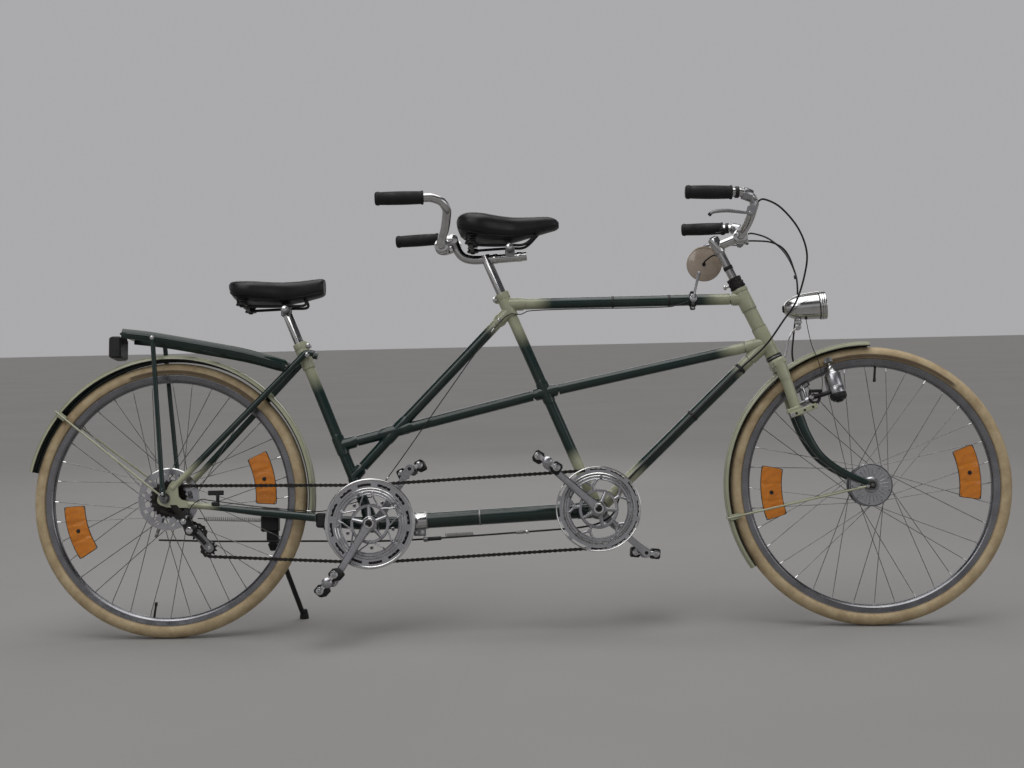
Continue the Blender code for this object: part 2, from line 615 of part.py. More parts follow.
make("derailleur", "frame", "chain", cage_side(Y_DRIVE - 0.0062, Y_DRIVE - 0.0046),
     add=[rod(V(0.052, -0.0655, 0.291), V(0.052, -0.0850, 0.291), 0.0090, n=12),
          box(V(0.058, -0.0780, 0.2830), (0.016, 0.0120, 0.040)),
          rod(V(0.067, -0.0840, 0.2680), V(0.067, -0.0490, 0.2680), 0.0125, n=16),
          cage_side(Y_DRIVE + 0.0046, Y_DRIVE + 0.0062),
          several(rod(V(GUIDE.x, Y_DRIVE - 0.0085, GUIDE.z), V(GUIDE.x, Y_DRIVE + 0.0075, GUIDE.z), 0.0028, n=8),
                  rod(V(TENSION.x, Y_DRIVE - 0.0085, TENSION.z), V(TENSION.x, Y_DRIVE + 0.0075, TENSION.z),
                      0.0028, n=8))])

# ---- front fork with its axle
TIP = FRONT_HUB
blade_pts = [V(1.5575, 0, 0.6605), V(1.572, 0, 0.620), V(1.586, 0, 0.574), V(1.602, 0, 0.523), V(1.621, 0, 0.474),
             V(1.652, 0, 0.425), V(1.700, 0, 0.387), V(1.764, 0, 0.3545)]
blade_r = [0.0135, 0.0135, 0.0130, 0.0122, 0.0112, 0.0100, 0.0088, 0.0072]
fork_add = []
for s in (-1, 1):
    pts = [p + V(0, s * (0.0475 + 0.0020 * k / 7), 0) for k, p in enumerate(blade_pts)]
    fork_add.append(sweep(pts, blade_r, n=8, hint=V(0, 1, 0)))
    fork_add.append(plate_y([(1.752, 0.372), (1.742, 0.362), (1.752, 0.348), (1.768, 0.338), (1.782, 0.338),
                             (1.786, 0.352), (1.776, 0.362), (1.764, 0.362)], s * 0.0470, s * 0.0520))
fork_add += [box(head(0.0245), (0.034, 0.118, 0.022), (V(math.sin(HEAD_ANGLE), 0, math.cos(HEAD_ANGLE)),
                                                       V(0, 1, 0), HEAD_AXIS)),
             rod(TIP + V(0, -0.062, 0), TIP + V(0, 0.062, 0), 0.0045, n=10),
             rod(TIP + V(0, -0.0510, 0), TIP + V(0, -0.0600, 0), 0.0095, n=6),
             rod(TIP + V(0, 0.0510, 0), TIP + V(0, 0.0600, 0), 0.0095, n=6),
             sweep([V(1.568, 0, 0.669), V(1.579, 0, 0.692), V(1.588, 0, 0.730), V(1.612, 0, 0.757)], 0.0050, n=8),
             rod(V(1.612, -0.012, 0.757), V(1.612, 0.012, 0.757), 0.0075, n=10)]
fork_add.append(box(V(1.612, -0.0660, 0.5395), (0.070, 0.0070, 0.014),
                    (V(0.94, 0, 0.34), V(0, 1, 0), V(-0.34, 0, 0.94))))
fork_add.append(box(V(1.588, -0.0610, 0.5310), (0.024, 0.0100, 0.014),
                    (V(0.94, 0, 0.34), V(0, 1, 0), V(-0.34, 0, 0.94))))
for s in (-1, 1):
    fork_add.append(rod(V(1.598, s * 0.0480, 0.556), V(1.629, s * 0.0480, 0.567), 0.0042, n=8))
make("fork", "steering", "cream", rod(head(0.020), head(0.205), 0.0127, n=16), add=fork_add)

# ---- stem, bars, levers
make("stem", "steering", "chrome", rod(head(0.2065), head(0.375), 0.0112, n=16),
     add=[rod(head(0.2425), head(0.2700), 0.0190, n=16),
          rod(head(0.362), V(1.4735, 0, 0.9960), 0.0120, 0.0115, n=14),
          rod(V(1.4735, -0.0200, 0.9960), V(1.4735, 0.0200, 0.9960), 0.0185, n=16),
          rod(head(0.355), head(0.388), 0.0145, n=14),
          sweep([head(0.335) + V(-0.004, 0.004, 0), V(1.405, 0.016, 0.953), V(1.388, 0.026, 0.945),
                 V(1.378, 0.038, 0.934)], 0.0020, n=6)],
     cut=[rod(V(1.4735, -0.03, 0.9960), V(1.4735, 0.03, 0.9960), 0.0129, n=16)])


def bar_path(x0, z0, x_bend, z_bend, x_grip, z_grip, x_end, z_end, s):
    return [V(x0, s * 0.0, z0), V(x0, s * 0.024, z0), V(x0 + 0.002, s * 0.060, z0 + 0.001),
            V((x0 + x_bend) / 2 + 0.003, s * 0.125, z0 + (z_bend - z0) * 0.38),
            V(x_bend - 0.001, s * 0.190, z0 + (z_bend - z0) * 0.80),
            V(x_bend, s * 0.216, z_bend), V(x_bend - 0.012, s * 0.230, z_bend + (z_grip - z_bend) * 0.65),
            V(x_grip, s * 0.237, z_grip), V(x_end + 0.004, s * 0.250, z_end)]


def bar(name, where, args, extras):
    left, right = [smooth(path[:-1], 2) + path[-1:] for path in (bar_path(*args, 1), bar_path(*args, -1))]
    pts = list(reversed(right[1:])) + left
    make(name, where, "chrome", sweep(pts, 0.0111, n=8), add=extras)


def grip(name, where, args, s):
    path = bar_path(*args, s)
    a, b = path[-2], path[-1]
    d = (b - a).normalized()
    p, q = a + d * 0.018, b + d * 0.006
    make(name, where, "black",
         sweep([p, p + d * 0.004, p + d * 0.010, q - d * 0.012, q - d * 0.004, q + d * 0.001],
               [0.0150, 0.0168, 0.0160, 0.0168, 0.0155, 0.0110], n=10),
         cut=[rod(p - d * 0.01, b + d * 0.0003, 0.0122, n=8, start=0.0)])


CAPTAIN_BAR = (1.4735, 0.9960, 1.4960, 1.0420, 1.4600, 1.0630, 1.3320, 1.0660)
STOKER_BAR = (0.7020, 0.9900, 0.7290, 1.0400, 0.6930, 1.0630, 0.5600, 1.0600)
perches = []
for s in (-1, 1):
    perches.append(several(rod(V(1.468, s * 0.2345, 1.0620), V(1.487, s * 0.2275, 1.0550), 0.0150, n=8)))
    perches.append(box(V(1.4860, s * 0.2270, 1.0380), (0.026, 0.0140, 0.026)))
bar("captain_handlebar", "steering", CAPTAIN_BAR, perches)
for side, s in (("right", -1), ("left", 1)):
    grip("captain_grip_" + side, "steering", CAPTAIN_BAR, s)
    pivot = V(1.4850, s * 0.2270, 1.0140)
    body("brake_lever_" + side, pivot, "steering")
    y = s * 0.2270
    make("brake_lever_" + side, "brake_lever_" + side, "alloy",
         sweep(smooth([V(1.492, y, 1.0140), V(1.470, y, 1.0150), V(1.430, y + s * 0.006, 1.0200),
                       V(1.398, y + s * 0.010, 1.0180), V(1.386, y + s * 0.011, 1.0110)], 2),
               [0.0050, 0.0050, 0.0055, 0.0060, 0.0060, 0.0058, 0.0055, 0.0050, 0.0045], n=8))

# ---- seat posts; the captain's carries the stoker's bar
body("captain_post", SEAT1_TOP, "frame")
body("stoker_post", SEAT2_TOP, "frame")
post_head = FRONT_BB + SEAT1 * ((0.954 - FRONT_BB.z) / SEAT1.z)
make("captain_seatpost", "captain_post", "chrome",
     rod(SEAT1_TOP - SEAT1 * 0.150, post_head, 0.0126, n=16),
     add=[sweep(smooth([V(0.921, 0, 0.9600), V(0.870, 0, 0.9560), V(0.818, 0, 0.9540), V(0.785, 0, 0.9530),
                        V(0.760, 0, 0.9590), V(0.745, 0, 0.9740), V(0.734, 0, 1.0010), V(0.729, 0, 1.0120)], 1),
                0.0113, n=10),
          rod(V(0.731, -0.0170, 1.0060), V(0.731, 0.0170, 1.0060), 0.0130, n=12),
          rod(V(0.728, 0, 1.0060), V(0.7020, 0, 0.9900), 0.0105, n=12),
          rod(V(0.7020, -0.0200, 0.9900), V(0.7020, 0.0200, 0.9900), 0.0180, n=16),
          box(V(0.8780, 0, 0.9700), (0.026, 0.024, 0.028)),
          rod(V(0.8780, -0.0320, 0.9800), V(0.8780, 0.0320, 0.9800), 0.0100, n=12)],
     cut=[rod(V(0.7020, -0.03, 0.9900), V(0.7020, 0.03, 0.9900), 0.0129, n=16)])
make("stoker_seatpost", "stoker_post", "chrome",
     rod(SEAT2_TOP - SEAT2 * 0.130, SEAT2_TOP + SEAT2 * 0.098, 0.0126, n=16),
     add=[box(SEAT2_TOP + SEAT2 * 0.090, (0.026, 0.024, 0.024)),
          rod(SEAT2_TOP + SEAT2 * 0.094 + V(0, -0.030, 0), SEAT2_TOP + SEAT2 * 0.094 + V(0, 0.030, 0), 0.0100, n=12)])
bar("stoker_handlebar", "captain_post", STOKER_BAR, ())
grip("stoker_grip_right", "captain_post", STOKER_BAR, -1)
grip("stoker_grip_left", "captain_post", STOKER_BAR, 1)


# rows of (along, half width, top, bottom) from tail to nose
CAPTAIN_ROWS = ((0.00, 0.042, -0.018, -0.034), (0.03, 0.068, -0.006, -0.050), (0.12, 0.086, 0.001, -0.066),
                (0.25, 0.088, 0.000, -0.073), (0.40, 0.068, -0.005, -0.074), (0.55, 0.046, -0.008, -0.070),
                (0.72, 0.034, -0.007, -0.058), (0.88, 0.028, -0.006, -0.046), (0.96, 0.023, -0.011, -0.040),
                (1.00, 0.013, -0.020, -0.034))
STOKER_ROWS = ((0.00, 0.046, -0.014, -0.034), (0.04, 0.070, -0.009, -0.052), (0.12, 0.084, -0.008, -0.062),
               (0.25, 0.086, -0.009, -0.066), (0.40, 0.070, -0.010, -0.067), (0.55, 0.050, -0.010, -0.067),
               (0.72, 0.038, -0.008, -0.062), (0.88, 0.032, -0.004, -0.054), (0.97, 0.028, -0.002, -0.048),
               (1.00, 0.022, -0.004, -0.043))


def saddle(name, where, rows, x0, x1, z_top, z_low, dz_nose):
    """Padded top from tail x0 to nose x1."""
    def build(bm):
        rings = []
        for t, half, up, down in rows:
            x = x0 + (x1 - x0) * t
            top = z_top + up + dz_nose * t
            low = z_top + down + dz_nose * t
            ring = []
            for k in range(12):
                a = 2 * math.pi * k / 12
                c, q = math.cos(a), math.sin(a)
                y = half * math.copysign(abs(c) ** 0.75, c)
                z = (top + low) / 2 + (top - low) / 2 * math.copysign(abs(q) ** 0.7, q)
                ring.append(V(x, y, z))
            rings.append(ring)
        loft(bm, rings)
    make(name, where, "black", build,
         add=[several(box(V(x0 + (x1 - x0) * 0.20, 0, z_low + 0.006), (0.070, 0.090, z_top - z_low - 0.02)))])


saddle("captain_saddle", "captain_post", CAPTAIN_ROWS, 0.743, 1.006, 1.0700, 1.0020, -0.004)
saddle("stoker_saddle", "stoker_post", STOKER_ROWS, 0.156, 0.396, 0.9140, 0.8480, 0.000)

# ---- front and rear mudguards with their stays
def fender(name, where, hub, r, a0, a1, count, stay, tip_y):
    def build(bm):
        rings = []
        for k in range(count + 1):
            a = a0 + (a1 - a0) * k / count
            ring = []
            for dr, y in ((-0.0120, -0.0270), (-0.0040, -0.0245), (0.0, -0.0110), (0.0, 0.0110),
                          (-0.0040, 0.0245), (-0.0120, 0.0270),
                          (-0.0118, 0.0253), (-0.0050, 0.0226), (-0.0013, 0.0), (-0.0050, -0.0226),
                          (-0.0118, -0.0253)):
                ring.append(polar(hub, r + dr, a, y))
            rings.append(ring)
        loft(bm, rings)
    adds = []
    root = polar(hub, r + 0.0010, stay, 0)
    for s in (-1, 1):
        side = V(root.x, s * 0.0285, root.z) - (root - Vector(hub)).normalized() * 0.010
        adds.append(sweep([V(root.x, s * 0.0200, root.z) + (root - Vector(hub)).normalized() * 0.0005, side,
                           polar(hub, 0.022, stay, s * tip_y), polar(hub, 0.013, stay, s * tip_y)],
                          [0.0022, 0.0022, 0.0022, 0.0030], n=6))
    make(name, where, "cream", build, add=adds)


fender("front_mudguard", "steering", FRONT_HUB, 0.3640, math.radians(88), math.radians(214), 18,
       math.radians(192), 0.0645)
fender("rear_mudguard", "frame", V(0, 0, HUB_Z), 0.3700, math.radians(-9.5), math.radians(168), 25,
       math.radians(142), 0.0700)

# ---- rack and tail lamp
rack_line = [V(-0.115, 0, 0.7730), V(-0.041, 0, 0.7630), V(0.054, 0, 0.7450), V(0.185, 0, 0.7180), V(0.262, 0, 0.6960)]
rails = []
for s in (-1, 1):
    pts = [p + V(0, s * 0.058, 0) for p in rack_line] + [V(0.300, s * 0.0455, 0.6850)]
    rails.append(sweep(pts, 0.0125, n=8, flat=0.45, hint=V(0, 0, 1)))
bars = []
for k, (x, z) in enumerate(((-0.112, 0.7720), (-0.041, 0.7630), (0.054, 0.7450), (0.120, 0.7315), (0.185, 0.7180),
                            (0.262, 0.6960))):
    bars.append(box(V(x, 0, z), (0.016 if k else 0.020, 0.112, 0.008)))
strut = [rod(V(-0.036, s * 0.0600, 0.7560), V(0.0, s * 0.0840, 0.3560), 0.0060, n=10) for s in (-1, 1)]
make("rear_rack", "frame", "frame_green", rails[0],
     add=[rails[1], several(*bars), box(V(0.300, 0, 0.6895), (0.014, 0.094, 0.010)), several(*strut)],
     cut=[disc_y(V(0, 0, HUB_Z), -0.10, 0.10, 0.0112, n=16)])
make("tail_lamp", "frame", "black", box(V(-0.1420, 0, 0.7420), (0.034, 0.070, 0.056)),
     add=[box(V(-0.1270, 0, 0.7610), (0.010, 0.030, 0.020))])

# ---- brakes
for side, s in (("right", -1), ("left", 1)):
    pivot = V(1.6135, s * 0.0480, 0.5615)
    body("front_brake_arm_" + side, pivot, "steering")
    make("front_brake_arm_" + side, "front_brake_arm_" + side, "alloy",
         rod(V(1.618, s * 0.0480, 0.5630), V(1.6285, s * 0.0480, 0.5668), 0.0090, n=12),
         add=[sweep([V(1.623, s * 0.0480, 0.5650), V(1.618, s * 0.0440, 0.5850), V(1.613, s * 0.0360, 0.6000)],
                    0.0050, n=8),
              rod(V(1.612, s * 0.0400, 0.5990), V(1.612, s * 0.0210, 0.5990), 0.0032, n=8),
              box(V(1.612, s * 0.0190, 0.5990), (0.046, 0.0080, 0.011), (V(0.84, 0, 0.54), V(0, 1, 0), V(-0.54, 0, 0.84)))],
         cut=[rod(V(1.590, s * 0.0480, 0.5532), V(1.640, s * 0.0480, 0.5709), 0.0046, n=10)])
body("rear_brake_arm", V(-0.034, 0.060, 0.322), "frame")
make("rear_brake_arm", "rear_brake_arm", "steel",
     sweep([V(-0.0340, 0.0675, 0.3260), V(-0.0380, 0.0675, 0.3100), V(-0.0560, 0.0690, 0.2620), V(-0.0580, 0.0690, 0.2520)],
           [0.0060, 0.0065, 0.0045, 0.0040], n=8),
     add=[rod(V(-0.0340, 0.0604, 0.3220), V(-0.0340, 0.0680, 0.3220), 0.0080, n=12)])

# ---- lamp, dynamo, mirror, shift lever, stand
make("headlight", "steering", "chrome",
     sweep([V(1.576, 0, 0.8040), V(1.580, 0, 0.8043), V(1.590, 0, 0.8050), V(1.606, 0, 0.8060), V(1.636, 0, 0.8080),
            V(1.668, 0, 0.8098), V(1.670, 0, 0.8099), V(1.686, 0, 0.8110)],
           [0.0060, 0.0140, 0.0225, 0.0285, 0.0320, 0.0330, 0.0345, 0.0352], n=20, hint=V(0, 1, 0)),
     add=[rod(V(1.6120, 0, 0.7640), V(1.6140, 0, 0.7850), 0.0070, n=10)],
     cut=[rod(V(1.612, -0.0125, 0.757), V(1.612, 0.0125, 0.757), 0.0079, n=12)])
body("dynamo", V(1.640, -0.0560, 0.5760), "steering")
DYN_TOP, DYN_LOW = V(1.6800, -0.0345, 0.6640), V(1.7030, -0.0520, 0.5610)
dyn = (DYN_LOW - DYN_TOP).normalized()
make("dynamo", "dynamo", "alloy",
     sweep([DYN_TOP + dyn * 0.0150, DYN_TOP + dyn * 0.0240, DYN_TOP + dyn * 0.0300, DYN_TOP + dyn * 0.0360,
            DYN_TOP + dyn * 0.0960, DYN_TOP + dyn * 0.1020, DYN_TOP + dyn * 0.1080],
           [0.0080, 0.0085, 0.0140, 0.0205, 0.0215, 0.0190, 0.0080], n=16),
     add=[rod(DYN_TOP + dyn * 0.005, DYN_TOP + dyn * 0.020, 0.0028, n=8),
          sweep([DYN_TOP + dyn * 0.075, V(1.665, -0.0560, 0.5800), V(1.6350, -0.0560, 0.5730)],
                [0.0060, 0.0070, 0.0080], n=8)])
body("dynamo_roller", DYN_TOP, "dynamo")
make("dynamo_roller", "dynamo_roller", "steel", rod(DYN_TOP - dyn * 0.0080, DYN_TOP + dyn * 0.0080, 0.0105, n=16),
     cut=[rod(DYN_TOP + dyn * 0.0046, DYN_TOP + dyn * 0.0090, 0.0031, n=10)])
body("mirror", V(1.378, 0.038, 0.934), "steering")
make("mirror", "mirror", "mirror", rod(V(1.3805, 0.0415, 0.9360), V(1.3805, 0.0475, 0.9360), 0.0460, 0.0440, n=20))
body("shift_lever", V(1.345, -0.0220, TOP_Z), "frame")
make("shift_lever", "shift_lever", "alloy", rod(V(1.345, -0.0218, TOP_Z), V(1.345, -0.0270, TOP_Z), 0.0090, n=14),
     add=[sweep([V(1.345, -0.0245, TOP_Z), V(1.351, -0.0255, 0.8600), V(1.360, -0.0290, 0.8950), V(1.362, -0.0295, 0.9020)],
                [0.0030, 0.0028, 0.0045, 0.0035], n=8)])
body("side_stand", STAND_P, "frame")
make("side_stand", "side_stand", "black", rod(STAND_P - STAND_LEG * 0.002, FOOT, 0.0065, n=12),
     add=[rod(STAND_P - STAND_A * 0.0068, STAND_P + STAND_A * 0.0080, 0.0110, n=12),
          rod(FOOT + UP * 0.010, FOOT - UP * 0.0030, 0.0110, 0.0125, n=14)])

# ---- cables, held all the way
DT = (FRONT_BB - HEAD_LOW).normalized()
rear_cable = [V(1.5040, -0.2270, 1.0400), V(1.5200, -0.2240, 1.0460), V(1.5610, -0.1950, 1.0300),
              V(1.6070, -0.1400, 0.9870), V(1.6300, -0.1000, 0.9330), V(1.6230, -0.0800, 0.8770),
              V(1.6010, -0.0640, 0.8140), V(1.5690, -0.0480, 0.7690), V(1.5220, -0.0300, 0.7070),
              HEAD_LOW + DT * 0.105 + V(0, -0.0205, 0), HEAD_LOW + DT * 0.20 + V(0, -0.0185, 0),
              HEAD_LOW + DT * 0.50 + V(0, -0.0185, 0), V(1.1420, -0.0230, 0.3300), V(1.1250, -0.0200, 0.2900),
              V(1.0900, -0.0150, 0.2680), V(1.0400, -0.0100, 0.2580), V(0.9800, -0.0080, 0.2540),
              V(0.8900, -0.0060, 0.2490), V(0.7600, -0.0050, 0.2420), V(0.6000, 0.0050, 0.2350),
              V(0.4800, 0.0200, 0.2340), V(0.3950, 0.0340, 0.2365), V(0.3200, 0.0440, 0.2380),
              V(0.2500, 0.0500, 0.2390), V(0.1000, 0.0570, 0.2420), V(0.0000, 0.0640, 0.2460), V(-0.0500, 0.0680, 0.2480)]
for k in range(8):
    turn = Matrix.Rotation(STEER * min(1.0, (8 - k) / 4), 4, HEAD_AXIS)
    rear_cable[k] = Matrix.Translation(HEAD_P) @ turn @ Matrix.Translation(-HEAD_P) @ rear_cable[k]
make("rear_brake_cable", "frame", "black", sweep(smooth(rear_cable, 2), 0.0024, n=5))
front_cable = [V(1.5040, 0.2270, 1.0400), V(1.5200, 0.2240, 1.0440), V(1.5600, 0.1800, 1.0200), V(1.5940, 0.1100, 0.9700),
               V(1.6140, 0.0600, 0.9100), V(1.6180, 0.0420, 0.8600), V(1.6120, 0.0420, 0.8000), V(1.6020, 0.0400, 0.7300),
               V(1.5980, 0.0380, 0.6900), V(1.6040, 0.0350, 0.6500), V(1.6120, 0.0300, 0.6160)]
bar_cable = [V(1.4900, 0.0300, 0.9900), V(1.5200, 0.0400, 0.9905), V(1.5550, 0.0550, 0.9885), V(1.5850, 0.0670, 0.9750),
             V(1.6030, 0.0660, 0.9480), V(1.6140, 0.0590, 0.9080)]
make("front_brake_cable", "steering", "black", sweep(smooth(front_cable, 3), 0.0024, n=5),
     add=[sweep(smooth(bar_cable, 3), 0.0022, n=6)])
shift_cable = [V(1.3340, -0.0240, 0.8290), V(1.3000, -0.0160, 0.8190), V(1.2500, -0.0080, 0.8165), V(0.9600, -0.0080, 0.8165),
               V(0.9050, -0.0190, 0.8050), V(0.8300, -0.0200, 0.7650), V(0.5550, -0.0200, 0.3900), V(0.5000, -0.0235, 0.3420),
               V(0.4400, -0.0310, 0.3230), V(0.4000, -0.0390, 0.3120), V(0.3600, -0.0410, 0.3120), V(0.2400, -0.0500, 0.3245),
               V(0.1200, -0.0578, 0.3420), V(0.0920, -0.0660, 0.3460), V(0.0720, -0.0790, 0.3300), V(0.0620, -0.0790, 0.3060)]
make("shift_cable", "frame", "black", sweep(shift_cable, 0.0013, n=5))
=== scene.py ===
"""Looks of the tandem bicycle. Every shape is written in the upright bicycle's own frame and then leaned."""
import math

import bmesh
import bpy
from mathutils import Matrix, Vector


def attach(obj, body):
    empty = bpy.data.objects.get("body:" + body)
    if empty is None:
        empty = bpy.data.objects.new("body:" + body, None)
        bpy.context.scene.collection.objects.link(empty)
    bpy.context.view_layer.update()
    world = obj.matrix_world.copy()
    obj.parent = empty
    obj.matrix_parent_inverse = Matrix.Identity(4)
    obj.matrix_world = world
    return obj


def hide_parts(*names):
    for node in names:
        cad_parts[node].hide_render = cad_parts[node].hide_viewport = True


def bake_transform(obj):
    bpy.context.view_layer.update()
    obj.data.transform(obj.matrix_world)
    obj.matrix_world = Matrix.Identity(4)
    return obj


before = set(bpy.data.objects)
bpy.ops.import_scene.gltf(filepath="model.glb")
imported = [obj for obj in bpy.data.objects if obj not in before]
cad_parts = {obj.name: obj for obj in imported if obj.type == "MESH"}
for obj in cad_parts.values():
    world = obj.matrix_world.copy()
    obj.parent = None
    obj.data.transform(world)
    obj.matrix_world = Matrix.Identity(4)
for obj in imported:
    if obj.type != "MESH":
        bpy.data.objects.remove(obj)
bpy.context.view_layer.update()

# ---- sizes shared with the CAD, in metres
TYRE_R, HUB_Z, WHEELBASE = 0.019, 0.350, 1.774
LEAN, PITCH, STEER = math.radians(8.7), -0.000456, math.radians(-4.6)
HEAD_ANGLE = math.radians(65.2)
HEAD_AXIS = Vector((-math.cos(HEAD_ANGLE), 0, math.sin(HEAD_ANGLE)))
HEAD_P = Vector((1.566, 0, 0.642))
ORIGIN_X, ORIGIN_Y = 0.8803, 0.1255
FRONT_BB, REAR_BB = Vector((1.088, 0, 0.303)), Vector((0.515, 0, 0.277))
SEAT1, SEAT2 = Vector((-0.3853, 0, 0.9228)), Vector((-0.3683, 0, 0.9297))
CRANK_L = 0.168
FRONT_CRANK, REAR_CRANK = math.radians(138), math.radians(238)
RING_PITCH, COG_PITCH, JOCKEY_PITCH = 0.0971, 0.0326, 0.0205
Y_DRIVE, Y_TIMING = -0.0440, -0.0515
GUIDE, TENSION = Vector((0.078, 0, 0.262)), Vector((0.110, 0, 0.2235))
FRONT_HUB, REAR_HUB = Vector((WHEELBASE, 0, HUB_Z)), Vector((0, 0, HUB_Z))
TOP_Z = 0.8345
TAU = 2 * math.pi

TILT = Matrix.Translation((0, 0, TYRE_R)) @ Matrix.Rotation(-LEAN, 4, "X")
TILT = TILT @ Matrix.Rotation(PITCH, 4, "Y") @ Matrix.Translation((0, 0, -TYRE_R))
LEANED = Matrix.Translation((-ORIGIN_X, -ORIGIN_Y, 0)) @ TILT
STEERED = LEANED @ Matrix.Translation(HEAD_P) @ Matrix.Rotation(STEER, 4, HEAD_AXIS) @ Matrix.Translation(-HEAD_P)
STEERED_BODIES = {"steering", "front_wheel", "brake_lever_right", "brake_lever_left", "front_brake_arm_right",
                  "front_brake_arm_left", "dynamo", "dynamo_roller", "mirror"}


def V(x, y, z):
    return Vector((x, y, z))


def head(t, y=0.0):
    return HEAD_P + HEAD_AXIS * t + V(0, y, 0)


def along(a, b, d):
    return a + (b - a).normalized() * d


def polar(centre, r, a, y=0.0):
    return V(centre.x + r * math.cos(a), y, centre.z + r * math.sin(a))


def ease(x, a, b):
    t = max(0.0, min(1.0, (x - a) / (b - a)))
    return t * t * (3 - 2 * t)


# ---- materials
def nodes_of(name):
    mat = bpy.data.materials.new(name)
    mat.use_nodes = True
    tree = mat.node_tree
    return mat, tree, tree.nodes["Principled BSDF"]


def coords(tree, scale=(1, 1, 1)):
    where = tree.nodes.new("ShaderNodeTexCoord")
    mapping = tree.nodes.new("ShaderNodeMapping")
    mapping.inputs["Scale"].default_value = scale
    tree.links.new(where.outputs["Object"], mapping.inputs["Vector"])
    return mapping.outputs["Vector"]


def noise(tree, scale, detail=4.0, rough=0.55, stretch=(1, 1, 1)):
    n = tree.nodes.new("ShaderNodeTexNoise")
    n.inputs["Scale"].default_value = scale
    n.inputs["Detail"].default_value = detail
    n.inputs["Roughness"].default_value = rough
    tree.links.new(coords(tree, stretch), n.inputs["Vector"])
    return n.outputs["Fac"]


def ramp(tree, value, stops):
    r = tree.nodes.new("ShaderNodeValToRGB")
    r.color_ramp.elements[0].position, r.color_ramp.elements[0].color = stops[0][0], (*stops[0][1], 1)
    r.color_ramp.elements[1].position, r.color_ramp.elements[1].color = stops[-1][0], (*stops[-1][1], 1)
    for pos, col in stops[1:-1]:
        e = r.color_ramp.elements.new(pos)
        e.color = (*col, 1)
    tree.links.new(value, r.inputs["Fac"])
    return r.outputs["Color"]


def grey(tree, value, lo, hi, a=0.3, b=0.7):
    return ramp(tree, value, [(a, (lo, lo, lo)), (b, (hi, hi, hi))])


def mix(tree, fac, a, b, mode="MIX"):
    m = tree.nodes.new("ShaderNodeMix")
    m.data_type, m.blend_type = "RGBA", mode
    for socket, value in ((m.inputs[0], fac), (m.inputs[6], a), (m.inputs[7], b)):
        if isinstance(value, (int, float)):
            socket.default_value = value
        elif isinstance(value, tuple):
            socket.default_value = (*value, 1)
        else:
            tree.links.new(value, socket)
    return m.outputs[2]


def attribute(tree, name="tone"):
    a = tree.nodes.new("ShaderNodeAttribute")
    a.attribute_name = name
    return a.outputs["Fac"]


def bump(tree, shader, height, strength, distance=0.001):
    b = tree.nodes.new("ShaderNodeBump")
    b.inputs["Strength"].default_value = strength
    b.inputs["Distance"].default_value = distance
    tree.links.new(height, b.inputs["Height"])
    tree.links.new(b.outputs["Normal"], shader.inputs["Normal"])


def paint_material():
    """Dark green enamel that fades to olive cream where the tone is 1, with chips and road dust."""
    mat, t, s = nodes_of("enamel")
    flake = noise(t, 1400, 2)
    green = ramp(t, flake, [(0.35, (0.003, 0.012, 0.010)), (0.65, (0.009, 0.029, 0.024))])
    cream = ramp(t, noise(t, 14, 5), [(0.3, (0.325, 0.335, 0.225)), (0.7, (0.395, 0.400, 0.285))])
    cloud = mix(t, 0.10, attribute(t), noise(t, 130, 5))
    base = mix(t, grey(t, cloud, 0, 1, 0.10, 0.86), green, cream)
    chips = grey(t, noise(t, 95, 8, 0.75), 0, 1, 0.715, 0.735)
    base = mix(t, chips, base, (0.075, 0.066, 0.055))
    dust = grey(t, noise(t, 9, 6, 0.7), 0.0, 0.08, 0.45, 0.8)
    base = mix(t, dust, base, (0.20, 0.18, 0.15))
    t.links.new(base, s.inputs["Base Color"])
    t.links.new(grey(t, noise(t, 55, 6), 0.17, 0.28), s.inputs["Roughness"])
    s.inputs["Specular IOR Level"].default_value = 0.34
    s.inputs["Coat Weight"].default_value = 0.30
    s.inputs["Coat Roughness"].default_value = 0.06
    bump(t, s, noise(t, 240, 3), 0.015, 0.0003)
    return mat


def metal(name, tint, dark, rough, spots=0.72, scale=60, stretch=(1, 1, 1), spot_tint=(0.10, 0.08, 0.06)):
    mat, t, s = nodes_of(name)
    base = ramp(t, noise(t, scale, 6, 0.6, stretch), [(0.25, dark), (0.75, tint)])
    worn = grey(t, noise(t, 160, 8, 0.75), 0, 0.85, spots, spots + 0.05)
    t.links.new(mix(t, worn, base, spot_tint), s.inputs["Base Color"])
    s.inputs["Metallic"].default_value = 1.0
    t.links.new(grey(t, noise(t, scale * 1.7, 5, 0.6, stretch), *rough), s.inputs["Roughness"])
    bump(t, s, noise(t, scale * 6, 3, 0.5, stretch), 0.02, 0.0002)
    return mat


def plastic(name, lo, hi, rough, grain=700, strength=0.12, coat=0.0):
    mat, t, s = nodes_of(name)
    t.links.new(ramp(t, noise(t, 22, 6, 0.65), [(0.3, lo), (0.75, hi)]), s.inputs["Base Color"])
    t.links.new(grey(t, noise(t, 48, 5), *rough), s.inputs["Roughness"])
    s.inputs["Coat Weight"].default_value = coat
    s.inputs["Specular IOR Level"].default_value = 0.32
    bump(t, s, noise(t, grain, 3), strength, 0.0006)
    return mat


